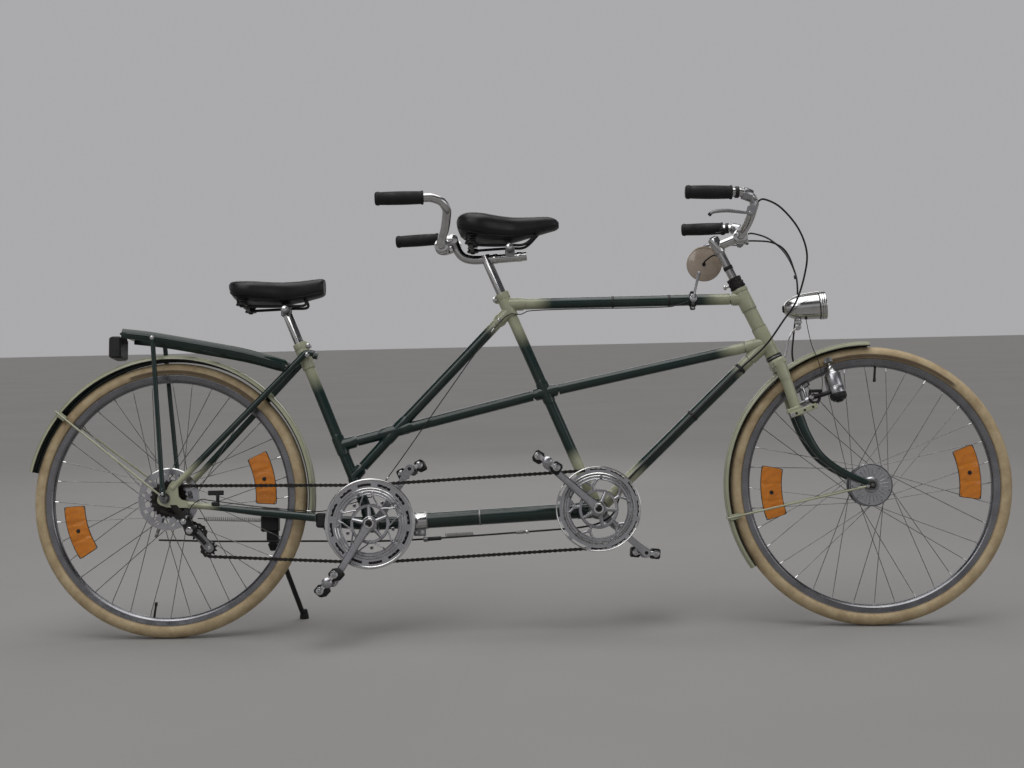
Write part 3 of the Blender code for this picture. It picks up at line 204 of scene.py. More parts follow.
def tyre_material():
    """Tan rubber; the tone darkens it to brown."""
    mat, t, s = nodes_of("tan_tyre")
    tan = ramp(t, noise(t, 24, 7, 0.7), [(0.28, (0.30, 0.215, 0.118)), (0.55, (0.455, 0.355, 0.212)),
                                         (0.8, (0.55, 0.455, 0.300))])
    grime = grey(t, noise(t, 70, 8, 0.75), 0, 0.45, 0.55, 0.78)
    tan = mix(t, grime, tan, (0.17, 0.115, 0.060))
    t.links.new(mix(t, attribute(t), tan, (0.075, 0.048, 0.028)), s.inputs["Base Color"])
    t.links.new(grey(t, noise(t, 60, 4), 0.62, 0.85), s.inputs["Roughness"])
    bump(t, s, noise(t, 420, 5), 0.35, 0.0008)
    return mat


def vinyl():
    mat, t, s = nodes_of("saddle_vinyl")
    cells = t.nodes.new("ShaderNodeTexVoronoi")
    cells.inputs["Scale"].default_value = 620
    t.links.new(coords(t), cells.inputs["Vector"])
    t.links.new(ramp(t, noise(t, 18, 6, 0.7), [(0.3, (0.004, 0.004, 0.005)), (0.75, (0.011, 0.011, 0.012))]),
                s.inputs["Base Color"])
    t.links.new(grey(t, noise(t, 30, 6, 0.7), 0.28, 0.50), s.inputs["Roughness"])
    s.inputs["Specular IOR Level"].default_value = 0.36
    bump(t, s, cells.outputs["Distance"], 0.22, 0.0006)
    return mat


def reflector_material():
    mat, t, s = nodes_of("amber_lens_painted_glow")
    cells = t.nodes.new("ShaderNodeTexVoronoi")
    cells.inputs["Scale"].default_value = 330
    cells.inputs["Randomness"].default_value = 0.15
    t.links.new(coords(t), cells.inputs["Vector"])
    base = ramp(t, cells.outputs["Distance"], [(0.1, (0.60, 0.190, 0.006)), (0.75, (0.33, 0.088, 0.003))])
    t.links.new(mix(t, grey(t, noise(t, 40, 5), 0, 0.35), base, (0.62, 0.23, 0.015)), s.inputs["Base Color"])
    t.links.new(grey(t, noise(t, 90, 3), 0.12, 0.3), s.inputs["Roughness"])
    s.inputs["Coat Weight"].default_value = 0.3
    # Painted glow: the faint orange emission below makes the reflector shine a little, though it is no lamp.
    s.inputs["Emission Color"].default_value = (0.9, 0.28, 0.01, 1)
    s.inputs["Emission Strength"].default_value = 0.05
    bump(t, s, cells.outputs["Distance"], 0.5, 0.0012)
    return mat


def mirror_painted_reflection_material():
    mat, t, s = nodes_of("mirror_disc_painted_reflection")
    # Painted reflection: the flat beige base colour stands in for what the mirror disc reflects, not for a smoked tint.
    t.links.new(ramp(t, noise(t, 16, 5), [(0.3, (0.27, 0.215, 0.165)), (0.7, (0.35, 0.285, 0.225))]),
                s.inputs["Base Color"])
    t.links.new(grey(t, noise(t, 35, 4), 0.12, 0.28), s.inputs["Roughness"])
    s.inputs["Coat Weight"].default_value = 0.5
    bump(t, s, noise(t, 90, 2), 0.04)
    return mat


def lens_material():
    mat, t, s = nodes_of("lamp_glass")
    wave = t.nodes.new("ShaderNodeTexWave")
    wave.inputs["Scale"].default_value = 75
    wave.bands_direction = "Y"
    t.links.new(coords(t), wave.inputs["Vector"])
    t.links.new(ramp(t, wave.outputs["Fac"], [(0.2, (0.55, 0.56, 0.56)), (0.8, (0.82, 0.83, 0.83))]),
                s.inputs["Base Color"])
    t.links.new(grey(t, noise(t, 50, 3), 0.05, 0.16), s.inputs["Roughness"])
    s.inputs["Metallic"].default_value = 0.45
    s.inputs["Coat Weight"].default_value = 1.0
    bump(t, s, wave.outputs["Fac"], 0.5, 0.001)
    return mat


PAINT = paint_material()
CHROME = metal("chrome_plate", (0.62, 0.62, 0.62), (0.44, 0.43, 0.42), (0.08, 0.22), 0.74, 40)
ALLOY = metal("bare_alloy", (0.44, 0.44, 0.46), (0.33, 0.33, 0.345), (0.20, 0.34), 0.84, 30)
RIM = metal("rim_alloy", (0.27, 0.27, 0.285), (0.17, 0.17, 0.18), (0.20, 0.34), 0.86, 18)
SPOKE = metal("spoke_steel", (0.24, 0.24, 0.24), (0.09, 0.09, 0.09), (0.28, 0.48), 0.70, 90)
DARK_STEEL = metal("oiled_steel", (0.060, 0.055, 0.052), (0.016, 0.015, 0.014), (0.34, 0.56), 0.70, 90,
                   spot_tint=(0.08, 0.040, 0.020))
GREY_STEEL = metal("grey_steel", (0.34, 0.34, 0.34), (0.16, 0.16, 0.165), (0.34, 0.52), 0.70, 90)
BLACK = plastic("black_plastic", (0.006, 0.006, 0.007), (0.020, 0.020, 0.020), (0.34, 0.60))
RUBBER = plastic("black_rubber", (0.005, 0.005, 0.005), (0.015, 0.015, 0.015), (0.50, 0.78), 520, 0.25)
CABLE = plastic("cable_jacket", (0.008, 0.008, 0.008), (0.020, 0.020, 0.020), (0.30, 0.46), 900, 0.06)
RED = plastic("red_lens", (0.11, 0.006, 0.006), (0.22, 0.012, 0.010), (0.08, 0.2), 300, 0.2, 1.0)
TYRE, VINYL, AMBER, DISC_PAINTED_REFLECTION, LENS = tyre_material(), vinyl(), reflector_material(), mirror_painted_reflection_material(), lens_material()


# ---- one piece, made of closed shells
def frame_of(d, hint=None):
    d = d.normalized()
    ref = hint or (V(0, 1, 0) if abs(d.y) < 0.9 else V(1, 0, 0))
    u = (ref - d * ref.dot(d)).normalized()
    return u, d.cross(u)


class Piece:
    def __init__(self, name, body, *nodes, slot=None):
        self.name, self.body, self.nodes, self.slot = name, body, nodes, slot
        self.v, self.f, self.m, self.t, self.mats = [], [], [], [], []

    def add(self, verts, faces, mat, tone=0.0):
        start = len(self.v)
        if mat not in self.mats:
            self.mats.append(mat)
        index = self.mats.index(mat)
        self.v += verts
        self.t += [tone(p) if callable(tone) else tone for p in verts]
        self.f += [[start + i for i in face] for face in faces]
        self.m += [index] * len(faces)

    def loft(self, rings, mat, closed=False, tone=0.0):
        n, count = len(rings[0]), len(rings)
        faces = []
        for k in range(count if closed else count - 1):
            a, b = k * n, (k + 1) % count * n
            faces += [(a + i, a + (i + 1) % n, b + (i + 1) % n, b + i) for i in range(n)]
        if not closed:
            faces += [tuple(reversed(range(n))), tuple(range((count - 1) * n, count * n))]
        self.add([p for ring in rings for p in ring], faces, mat, tone)

    def rod(self, p, q, r, mat, r2=None, n=24, tone=0.0, segs=1, edge=0.0, phase=0.0):
        """Round bar, with its end edges rounded off by edge."""
        r2 = r if r2 is None else r2
        u, v = frame_of(q - p)
        stops = [(k / segs, 0.0) for k in range(segs + 1)]
        if edge:
            e = edge / (q - p).length
            stops = [(0, edge), (e * 0.3, edge * 0.3), (e, 0)] + stops[1:-1] + [(1 - e, 0), (1 - e * 0.3, edge * 0.3),
                                                                               (1, edge)]
        rings = []
        for t, less in stops:
            rr = r + (r2 - r) * t - less
            rings.append([p.lerp(q, t) + (u * math.cos(TAU * i / n + phase) + v * math.sin(TAU * i / n + phase)) * rr
                          for i in range(n)])
        self.loft(rings, mat, tone=tone)

    def sweep(self, pts, radii, mat, n=16, closed=False, flat=1.0, hint=None, tone=0.0):
        if not isinstance(radii, (list, tuple)):
            radii = [radii] * len(pts)
        rings, u = [], None
        for k, p in enumerate(pts):
            if closed:
                d = (pts[(k + 1) % len(pts)] - pts[k - 1]).normalized()
            else:
                d = (pts[min(k + 1, len(pts) - 1)] - pts[max(k - 1, 0)]).normalized()
            if hint is not None or u is None:
                u, v = frame_of(d, hint)
            else:
                u = (u - d * u.dot(d)).normalized()
                v = d.cross(u)
            rings.append([p + u * radii[k] * math.cos(TAU * i / n) + v * radii[k] * flat * math.sin(TAU * i / n)
                          for i in range(n)])
        self.loft(rings, mat, closed, tone)

    def lathe(self, centre, profile, mat, n=96, tone=0.0):
        """Ring about a Y axis from a closed (radius, y) profile."""
        rings = [[V(centre.x + r * math.cos(TAU * k / n), y, centre.z + r * math.sin(TAU * k / n))
                  for r, y in profile] for k in range(n)]
        self.loft(rings, mat, True, tone)

    def plate(self, outline, y0, y1, mat, edge=0.0006, tone=0.0):
        """Prism from a convex-enough (x, z) outline, its rims drawn in by edge."""
        cx = sum(p[0] for p in outline) / len(outline)
        cz = sum(p[1] for p in outline) / len(outline)
        s = 1 if y1 > y0 else -1

        def ring(y, less):
            out = []
            for x, z in outline:
                d = math.hypot(x - cx, z - cz) or 1
                out.append(V(x - (x - cx) / d * less, y, z - (z - cz) / d * less))
            return out
        self.loft([ring(y0, edge), ring(y0 + s * edge, 0), ring(y1 - s * edge, 0), ring(y1, edge)], mat, tone=tone)

    def box(self, centre, size, mat, axes=None, edge=0.0008, tone=0.0):
        """Block with chamfered edges."""
        a = axes or (V(1, 0, 0), V(0, 1, 0), V(0, 0, 1))
        h = [x / 2 for x in size]
        e = min(edge, *[x * 0.8 for x in h])

        def ring(s2, less):
            pts = []
            for sx, sy in ((-1, -1), (1, -1), (1, 1), (-1, 1)):
                for dx, dy in (((-e, 0), (0, -e)) if sx * sy < 0 else ((0, -e), (-e, 0))):
                    pts.append(centre + a[0] * sx * (h[0] + dx - less) + a[1] * sy * (h[1] + dy - less) + a[2] * s2)
            return pts
        self.loft([ring(-h[2], e), ring(-h[2] + e, 0), ring(h[2] - e, 0), ring(h[2], e)], mat, tone=tone)

    def cells(self, centre, radii, n, keep, y0, y1, mat, phase=0.0):
        """Flat ring with windows: keep(i, k) says whether the cell between radii i, i+1 and steps k, k+1 is solid."""
        rows = len(radii)

        def vert(side, i, k):
            return (side * rows + i) * n + k % n
        verts = []
        for y in (y0, y1):
            for r in radii:
                verts += [V(centre.x + r * math.cos(TAU * k / n + phase), y, centre.z + r * math.sin(TAU * k / n + phase))
                          for k in range(n)]
        faces = []
        for i in range(rows - 1):
            for k in range(n):
                if not keep(i, k):
                    continue
                quad = [(i, k), (i, k + 1), (i + 1, k + 1), (i + 1, k)]
                faces.append(tuple(vert(0, *q) for q in quad))
                faces.append(tuple(vert(1, *q) for q in reversed(quad)))
                near = ((i - 1, k), (i, k + 1), (i + 1, k), (i, k - 1))
                for e, (ni, nk) in enumerate(near):
                    if 0 <= ni < rows - 1 and keep(ni, nk % n):
                        continue
                    p, q = quad[e], quad[(e + 1) % 4]
                    faces.append((vert(0, *q), vert(0, *p), vert(1, *p), vert(1, *q)))
        used = sorted({i for f in faces for i in f})
        index = {old: new for new, old in enumerate(used)}
        self.add([verts[i] for i in used], [tuple(index[i] for i in f) for f in faces], mat)

    def gear(self, centre, teeth, pitch_r, bore_r, y0, y1, mat, tooth=0.0042):
        rings = []
        outer, inner = [], []
        for k in range(teeth):
            for frac, dr in ((0.0, -tooth), (0.22, -tooth * 0.55), (0.40, tooth * 0.62), (0.60, tooth * 0.62),
                             (0.78, -tooth * 0.55)):
                a = TAU * (k + frac) / teeth
                outer.append((pitch_r + dr, a))
                inner.append((bore_r, a))
        for loop, y in ((inner, y0), (outer, y0), (outer, y1), (inner, y1)):
            rings.append([polar(centre, r, a, y) for r, a in loop])
        self.loft(rings, mat, True)

    def bolt(self, p, d, r, mat=CHROME, tall=0.004, hexagon=True):
        """Bolt head with a washer, standing on p along d."""
        d = d.normalized()
        self.rod(p, p + d * 0.0010, r * 1.35, mat, n=20)
        self.rod(p + d * 0.0008, p + d * tall, r, mat, n=6 if hexagon else 20, edge=0.0005)

    def coil(self, p, q, r, wire, turns, mat, per=14, n=6):
        u, v = frame_of(q - p)
        count = int(turns * per)
        self.sweep([p.lerp(q, k / count) + (u * math.cos(TAU * k / per) + v * math.sin(TAU * k / per)) * r
                    for k in range(count + 1)], wire, mat, n=n)

    def done(self, angle=32):
        mesh = bpy.data.meshes.new(self.name)
        place = STEERED if self.body in STEERED_BODIES else LEANED
        mesh.from_pydata([place @ p for p in self.v], [], self.f)
        mesh.polygons.foreach_set("material_index", self.m)
        tone = mesh.attributes.new("tone", "FLOAT", "POINT")
        tone.data.foreach_set("value", self.t)
        for mat in self.mats:
            mesh.materials.append(mat)
        bm = bmesh.new()
        bm.from_mesh(mesh)
        bmesh.ops.recalc_face_normals(bm, faces=bm.faces)
        bm.to_mesh(mesh)
        bm.free()
        mesh.shade_smooth()
        mesh.set_sharp_from_angle(angle=math.radians(angle))
        obj = bpy.data.objects.new(self.name, mesh)
        bpy.context.scene.collection.objects.link(obj)
        if self.body:
            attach(obj, self.body)
        if self.nodes:
            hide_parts(*self.nodes)
        return obj


def smooth(points, per=6):
    """Catmull-Rom through the points."""
    pts = [Vector(p) for p in points]
    out = []
    for k in range(len(pts) - 1):
        a, b, c, d = pts[max(k - 1, 0)], pts[k], pts[k + 1], pts[min(k + 2, len(pts) - 1)]
        for i in range(per):
            t = i / per
            out.append(0.5 * (2 * b + (c - a) * t + (2 * a - 5 * b + 4 * c - d) * t * t
                              + (3 * b - a - 3 * c + d) * t ** 3))
    return out + [pts[-1]]


# ---- frame
TUBE, LUG = 0.0143, 0.0168
HEAD_TOP, HEAD_LOW = head((TOP_Z - HEAD_P.z) / HEAD_AXIS.z), head((0.719 - HEAD_P.z) / HEAD_AXIS.z)
SEAT1_TOP, SEAT2_TOP = FRONT_BB + SEAT1 * 0.606, REAR_BB + SEAT2 * 0.502
SEAT1_AT_TOP = FRONT_BB + SEAT1 * ((TOP_Z - FRONT_BB.z) / SEAT1.z)
CROSS1 = FRONT_BB + SEAT1 * ((0.604 - FRONT_BB.z) / SEAT1.z)
LATERAL_END = REAR_BB + SEAT2 * ((0.479 - REAR_BB.z) / SEAT2.z)
DIAG_END = REAR_BB + SEAT2 * ((0.397 - REAR_BB.z) / SEAT2.z)
DIAG_TOP = FRONT_BB + SEAT1 * ((0.818 - FRONT_BB.z) / SEAT1.z)
CROSS2 = V(0.577, 0, 0.514)


def tube(b, p, q, r, near=None, far=None, level=1.0):
    """Frame tube; near and far are (whole, gone): how far cream reaches from each end before it is all green."""
    length = (q - p).length

    def tone(x):
        d = (x - p).dot((q - p).normalized())
        a = 1 - ease(d, *near) if near else 0
        c = 1 - ease(length - d, *far) if far else 0
        return max(a, c) * level
    b.rod(p, q, r, PAINT, n=32, segs=max(2, round(length / 0.009)), tone=tone)


def lug(b, p, q, length, r, r_tube, tone=1.0, points=2, depth=0.007, n=32):
    """Socket round a tube's end, with a scalloped and tapered lip."""
    d = (q - p).normalized()
    u, v = frame_of(d)
    rings = []
    for t, rr, w in ((0.0, r, 0), (length * 0.5, r, 0.35), (length - 0.0028, r, 1), (length - 0.0006, r - 0.0007, 1),
                     (length, r_tube - 0.0002, 1)):
        ring = []
        for i in range(n):
            a = TAU * i / n
            back = depth * (0.5 - 0.5 * math.cos(points * a)) * w
            ring.append(p + d * (t - back) + (u * math.cos(a) + v * math.sin(a)) * rr)
        rings.append(ring)
    b.loft(rings, PAINT, tone=tone)


b = Piece("head_tube.look", "frame", "head_tube", slot="cream")
b.rod(head(0.041), head(0.237), 0.0181, PAINT, n=40, tone=1.0, segs=8)
b.rod(head(0.180), head(0.233), 0.0197, PAINT, n=40, tone=1.0, edge=0.0014)
b.rod(head(0.048), head(0.128), 0.0197, PAINT, n=40, tone=1.0, edge=0.0014)
b.rod(head(0.0375), head(0.0475), 0.0208, BLACK, n=40, edge=0.0015)
b.rod(head(0.0405), head(0.0445), 0.0214, GREY_STEEL, n=40, edge=0.0008)
b.rod(head(0.2305), head(0.240), 0.0212, PAINT, n=40, tone=0.9, edge=0.0012)
lug(b, HEAD_TOP, V(1.440, 0, TOP_Z), (HEAD_TOP - V(1.440, 0, TOP_Z)).length, 0.0170, 0.0145)
lug(b, HEAD_LOW, CROSS1, 0.0595, 0.0170, 0.0138)
lug(b, HEAD_LOW, FRONT_BB, 0.0655, 0.0172, 0.0152)
for t in (0.180, 0.128):
    b.rod(head(t - 0.0008), head(t + 0.0008), 0.0201, PAINT, n=40, tone=0.55, edge=0.0006)
b.done()

b = Piece("lateral_tube_front.look", "frame", "lateral_tube_front", slot="frame_green")
tube(b, along(HEAD_LOW, CROSS1, 0.0585), along(CROSS1, HEAD_LOW, 0.0343), 0.0136, near=(0.010, 0.088))
b.done()
b = Piece("down_tube.look", "frame", "down_tube", slot="frame_green")
DT = (FRONT_BB - HEAD_LOW).normalized()
tube(b, HEAD_LOW + DT * 0.0645, along(FRONT_BB, HEAD_LOW, 0.0603), 0.0150, near=(0.004, 0.070), far=(0.052, 0.118),
     level=0.92)
for d in (0.096, 0.268):
    b.rod(HEAD_LOW + DT * (d - 0.004), HEAD_LOW + DT * (d + 0.004), 0.0158, BLACK, edge=0.0006)
b.box(HEAD_LOW + DT * 0.096 + V(0.0, -0.0165, -0.004), (0.010, 0.008, 0.012), BLACK)
b.done()

b = Piece("top_and_captain_seat_tube.look", "frame", "top_and_captain_seat_tube", slot="frame_green")
tube(b, FRONT_BB, SEAT1_TOP, TUBE, near=(0.122, 0.176), far=(0.085, 0.170), level=0.95)
b.rod(FRONT_BB + SEAT1 * 0.540, FRONT_BB + SEAT1 * 0.607, 0.0173, PAINT, n=32, tone=1.0, edge=0.0013)
b.rod(FRONT_BB + SEAT1 * 0.590, FRONT_BB + SEAT1 * 0.607, 0.0181, PAINT, n=32, tone=0.9, edge=0.0010)
tube(b, SEAT1_AT_TOP, V(1.4405, 0, TOP_Z), TUBE, near=(0.055, 0.130), far=(0.006, 0.085))
lug(b, SEAT1_AT_TOP, V(1.44, 0, TOP_Z), 0.050, 0.0168, 0.0145)
lug(b, DIAG_TOP, CROSS2, 0.050, 0.0160, 0.0136)
b.rod(along(DIAG_TOP, CROSS2, 0.030), along(DIAG_TOP, CROSS2, 0.037), 0.0172, PAINT, n=28, tone=0.85, edge=0.0008)
b.bolt(along(DIAG_TOP, CROSS2, 0.036) + V(0, -0.0150, 0), V(0, -1, 0), 0.0042, CHROME, 0.005)
for target, tone in ((HEAD_LOW, 0), (CROSS2, 0)):
    lug(b, CROSS1, target, 0.0345, 0.0160, 0.0138, tone)
lug(b, CROSS1, FRONT_BB, 0.034, 0.0162, TUBE, 0.0)
lug(b, CROSS1, SEAT1_TOP, 0.034, 0.0162, TUBE, 0.0)
b.rod(V(FRONT_BB.x, -0.034, FRONT_BB.z), V(FRONT_BB.x, 0.034, FRONT_BB.z), 0.0252, PAINT, n=40, tone=0.25, edge=0.0012)
for y in (-0.0365, 0.0365):
    b.rod(V(FRONT_BB.x, y * 0.9, FRONT_BB.z), V(FRONT_BB.x, y, FRONT_BB.z), 0.0215, GREY_STEEL, n=8, edge=0.0006)
lug(b, FRONT_BB, HEAD_LOW, 0.0605, 0.0174, 0.0152, 0.9)
lug(b, FRONT_BB, REAR_BB, 0.0525, 0.0216, 0.0201, 0.0, 0, 0)
lug(b, FRONT_BB, SEAT1_TOP, 0.050, 0.0168, TUBE, 0.9)
seat_bolt = FRONT_BB + SEAT1 * 0.594 + V(-0.022, 0, -0.004)
b.box(seat_bolt + V(0.007, 0, 0), (0.015, 0.013, 0.020), PAINT, tone=0.95, edge=0.002)
b.rod(seat_bolt + V(0, -0.012, 0), seat_bolt + V(0, 0.012, 0), 0.0062, CHROME, edge=0.0010)
b.rod(V(1.336, 0, TOP_Z), V(1.354, 0, TOP_Z), 0.0168, BLACK, n=32, edge=0.0010)
b.rod(V(1.341, 0, TOP_Z), V(1.349, 0, TOP_Z), 0.0174, GREY_STEEL, n=32, edge=0.0008)
b.box(V(1.345, 0, TOP_Z - 0.0195), (0.013, 0.011, 0.012), BLACK, edge=0.002)
b.box(V(1.345, 0, TOP_Z + 0.0185), (0.011, 0.012, 0.009), BLACK, edge=0.002)
b.rod(V(1.345, -0.009, TOP_Z - 0.021), V(1.345, 0.009, TOP_Z - 0.021), 0.0034, CHROME, edge=0.0006)
b.rod(V(1.345, -0.010, TOP_Z), V(1.345, -0.0215, TOP_Z), 0.0085, BLACK, edge=0.0008)
for x in (1.285, 1.140):
    b.rod(V(x - 0.003, 0, TOP_Z), V(x + 0.003, 0, TOP_Z), 0.0149, BLACK, n=32, edge=0.0004)
b.done()

b = Piece("stoker_seat_and_keel_tube.look", "frame", "stoker_seat_and_keel_tube", slot="frame_green")
tube(b, REAR_BB, SEAT2_TOP, TUBE, far=(0.070, 0.150), level=0.95)
b.rod(REAR_BB + SEAT2 * 0.432, REAR_BB + SEAT2 * 0.503, 0.0171, PAINT, n=32, tone=1.0, edge=0.0013)
b.rod(REAR_BB + SEAT2 * 0.486, REAR_BB + SEAT2 * 0.503, 0.0180, PAINT, n=32, tone=0.92, edge=0.0010)
KEEL = (FRONT_BB - REAR_BB).normalized()
tube(b, REAR_BB + KEEL * 0.115, FRONT_BB - KEEL * 0.0525, 0.0200)
b.rod(REAR_BB, REAR_BB + KEEL * 0.13, 0.0160, PAINT, n=32)
b.rod(REAR_BB + KEEL * 0.098, REAR_BB + KEEL * 0.1395, 0.0223, CHROME, n=40, edge=0.0012)
for d in (0.1395, 0.274):
    b.rod(REAR_BB + KEEL * (d - 0.002), REAR_BB + KEEL * (d + 0.002), 0.0208, GREY_STEEL, n=40, edge=0.0006)
b.rod(REAR_BB + KEEL * 0.104, REAR_BB + KEEL * 0.112, 0.0229, GREY_STEEL, n=40, edge=0.0008)
low = REAR_BB + KEEL * 0.120
b.box(low + V(0.001, -0.002, -0.0285), (0.030, 0.013, 0.019), GREY_STEEL, edge=0.0015)
for dx in (-0.008, 0.008):
    b.bolt(low + V(dx, -0.0080, -0.0285), V(0, -1, 0), 0.0034, CHROME, 0.004)
lug(b, LATERAL_END, CROSS2, 0.0455, 0.0160, 0.0138, 0.0)
lug(b, DIAG_END, CROSS2, 0.0365, 0.0160, 0.0136, 0.0)
for p, q in ((LATERAL_END, SEAT2_TOP), (LATERAL_END, REAR_BB), (DIAG_END, REAR_BB)):
    lug(b, p, q, 0.030, 0.0164, TUBE, 0.0)
b.rod(V(REAR_BB.x, -0.034, REAR_BB.z), V(REAR_BB.x, 0.034, REAR_BB.z), 0.0220, PAINT, n=40, edge=0.0012)
for y in (-0.0365, 0.0365):
    b.rod(V(REAR_BB.x, y * 0.9, REAR_BB.z), V(REAR_BB.x, y, REAR_BB.z), 0.0195, GREY_STEEL, n=8, edge=0.0006)
lug(b, REAR_BB, SEAT2_TOP, 0.046, 0.0168, TUBE, 0.0)
b.rod(REAR_BB, V(0.395, 0, 0.2885), 0.0166, PAINT, n=32, edge=0.0010)
b.box(V(0.390, 0, 0.2885), (0.025, 0.094, 0.037), BLACK, edge=0.004)
b.box(V(0.402, -0.0440, 0.2745), (0.010, 0.007, 0.022), BLACK, edge=0.002)
bolt2 = REAR_BB + SEAT2 * 0.492 + V(0.020, 0, 0.004)
b.box(bolt2 + V(-0.006, 0, 0), (0.015, 0.013, 0.020), PAINT, tone=0.95, edge=0.002)
b.rod(bolt2 + V(0, -0.012, 0), bolt2 + V(0, 0.012, 0), 0.0056, CHROME, edge=0.0010)
b.done()

b = Piece("crossed_rear_tubes.look", "frame", "crossed_rear_tubes", slot="frame_green")
tube(b, along(DIAG_TOP, CROSS2, 0.047), CROSS2, 0.0136, near=(0.002, 0.045), level=0.8)
tube(b, CROSS2, along(DIAG_END, CROSS2, 0.0362), 0.0136)
tube(b, along(CROSS1, CROSS2, 0.0342), along(LATERAL_END, CROSS2, 0.0452), 0.0138)
for target in (DIAG_TOP, DIAG_END):
    lug(b, CROSS2, target, 0.045, 0.0156, 0.0136, 0.0, depth=0.012)
for target in (CROSS1, LATERAL_END):
    lug(b, CROSS2, target, 0.045, 0.0158, 0.0138, 0.0, depth=0.012)
b.done()

STAND_P, STAND_UP = V(0.250, 0.0960, 0.2370), TILT.to_3x3().inverted() @ V(0, 0, 1)
FOOT = V(0.303, 0.2200, 0.0340)
FOOT -= STAND_UP * ((LEANED @ FOOT).z - 0.0030)
STAND_LEG = (FOOT - STAND_P).normalized()
STAND_A = STAND_LEG.cross(V(-0.98, 0.15, 0.05)).normalized()
DROPOUT = [(-0.020, 0.345), (-0.017, 0.338), (-0.010, 0.333), (0.004, 0.328), (0.030, 0.326), (0.060, 0.3255),
           (0.078, 0.326), (0.084, 0.331), (0.084, 0.339), (0.060, 0.342), (0.042, 0.346), (0.035, 0.354),
           (0.033, 0.372), (0.033, 0.388), (0.028, 0.394), (0.018, 0.394), (0.010, 0.384), (0.004, 0.371),
           (-0.006, 0.368), (-0.016, 0.364)]
for side, s in (("right", -1), ("left", 1)):
    b = Piece(f"rear_stays_{side}.look", "frame", f"rear_stays_{side}", slot="frame_green")
    yd = s * 0.0625
    b.plate(DROPOUT, yd - 0.0026, yd + 0.0026, PAINT, tone=1.0)
    stay = smooth([V(0.070, s * 0.0608, 0.3328), V(0.16, s * 0.0552, 0.3220), V(0.24, s * 0.0500, 0.3115),
                   V(0.3757, s * 0.0395, 0.2957)], 10)
    b.sweep(stay, [0.0078 + 0.0028 * ease(p.x, 0.07, 0.30) for p in stay], PAINT, n=24,
            tone=lambda p: 1 - ease(p.x, 0.092, 0.150))
    b.rod(V(0.0178, s * 0.0612, 0.374), V(0.350, s * 0.0262, 0.7165), 0.0080, PAINT, n=24, segs=40,
          tone=lambda p: 1 - ease(p.z, 0.405, 0.455))
    b.sweep(smooth([V(0.372, s * 0.0262, 0.7140), V(0.357, s * 0.0262, 0.7165), V(0.345, s * 0.0262, 0.7120),
                    V(0.336, s * 0.0262, 0.7020)], 4), 0.0086, PAINT, n=24)
    b.bolt(V(0.355, s * 0.0330, 0.712), V(0, s, 0), 0.0045, CHROME, 0.0045)
    b.rod(V(0.058, s * 0.0590, 0.3345), V(0.080, s * 0.0590, 0.3318), 0.0084, PAINT, n=24, tone=1.0, edge=0.002)
    if s < 0:
        b.plate([(0.012, 0.334), (0.030, 0.334), (0.050, 0.312), (0.062, 0.294), (0.060, 0.284), (0.050, 0.281),
                 (0.042, 0.286), (0.036, 0.300)], -0.0652, -0.0600, DARK_STEEL)
        b.box(V(0.128, -0.0632, 0.3338), (0.020, 0.009, 0.010), BLACK, edge=0.002)
        b.rod(V(0.132, -0.0570, 0.340), V(0.132, -0.0570, 0.360), 0.0042, BLACK, edge=0.0008)
        b.box(V(0.127, -0.0560, 0.3620), (0.040, 0.0050, 0.012), BLACK, edge=0.0015)
    else:
        b.box(V(0.240, 0.0740, 0.2950), (0.046, 0.026, 0.062), BLACK, edge=0.003)
        b.box(V(0.246, 0.0740, 0.2530), (0.030, 0.018, 0.026), BLACK, edge=0.003)
        for z in (0.282, 0.308):
            b.bolt(V(0.240, 0.0868, z), V(0, 1, 0), 0.0050, GREY_STEEL, 0.005)
        b.box(STAND_P - STAND_A * 0.0165, (0.024, 0.024, 0.018), BLACK,
              (STAND_LEG, STAND_A.cross(STAND_LEG), STAND_A), edge=0.003)
        b.box(V(0.240, 0.0600, 0.3110), (0.020, 0.030, 0.012), BLACK)
        b.coil(V(0.066, 0.0735, 0.3010), V(0.216, 0.0735, 0.2950), 0.0052, 0.0009, 30, SPOKE)
        for p, q in (((0.050, 0.302), (0.068, 0.301)), ((0.214, 0.2951), (0.226, 0.295))):
            b.rod(V(p[0], 0.0735, p[1]), V(q[0], 0.0735, q[1]), 0.0014, SPOKE, n=8)
        b.rod(V(0, -0.084, HUB_Z), V(0, 0.080, HUB_Z), 0.0049, SPOKE, n=20, edge=0.0008)
        for y0, y1 in ((-0.0655, -0.0790), (0.0640, 0.0760)):
            b.rod(V(0, y0, HUB_Z), V(0, y0 + math.copysign(0.0012, y1), HUB_Z), 0.0135, SPOKE, n=24)
            b.rod(V(0, y0, HUB_Z), V(0, y1, HUB_Z), 0.0104, GREY_STEEL, n=6, edge=0.0010)
        b.lathe(V(0, 0, HUB_Z), [(0.006, 0.0502), (0.0482, 0.0502), (0.0488, 0.0512), (0.0470, 0.0530),
                                 (0.0380, 0.0536), (0.0370, 0.0552), (0.0200, 0.0560), (0.0185, 0.0610),
                                 (0.006, 0.0610)], ALLOY, 64)
        b.rod(V(-0.034, 0.052, 0.322), V(-0.034, 0.060, 0.322), 0.0060, GREY_STEEL, edge=0.0006)
    b.done()

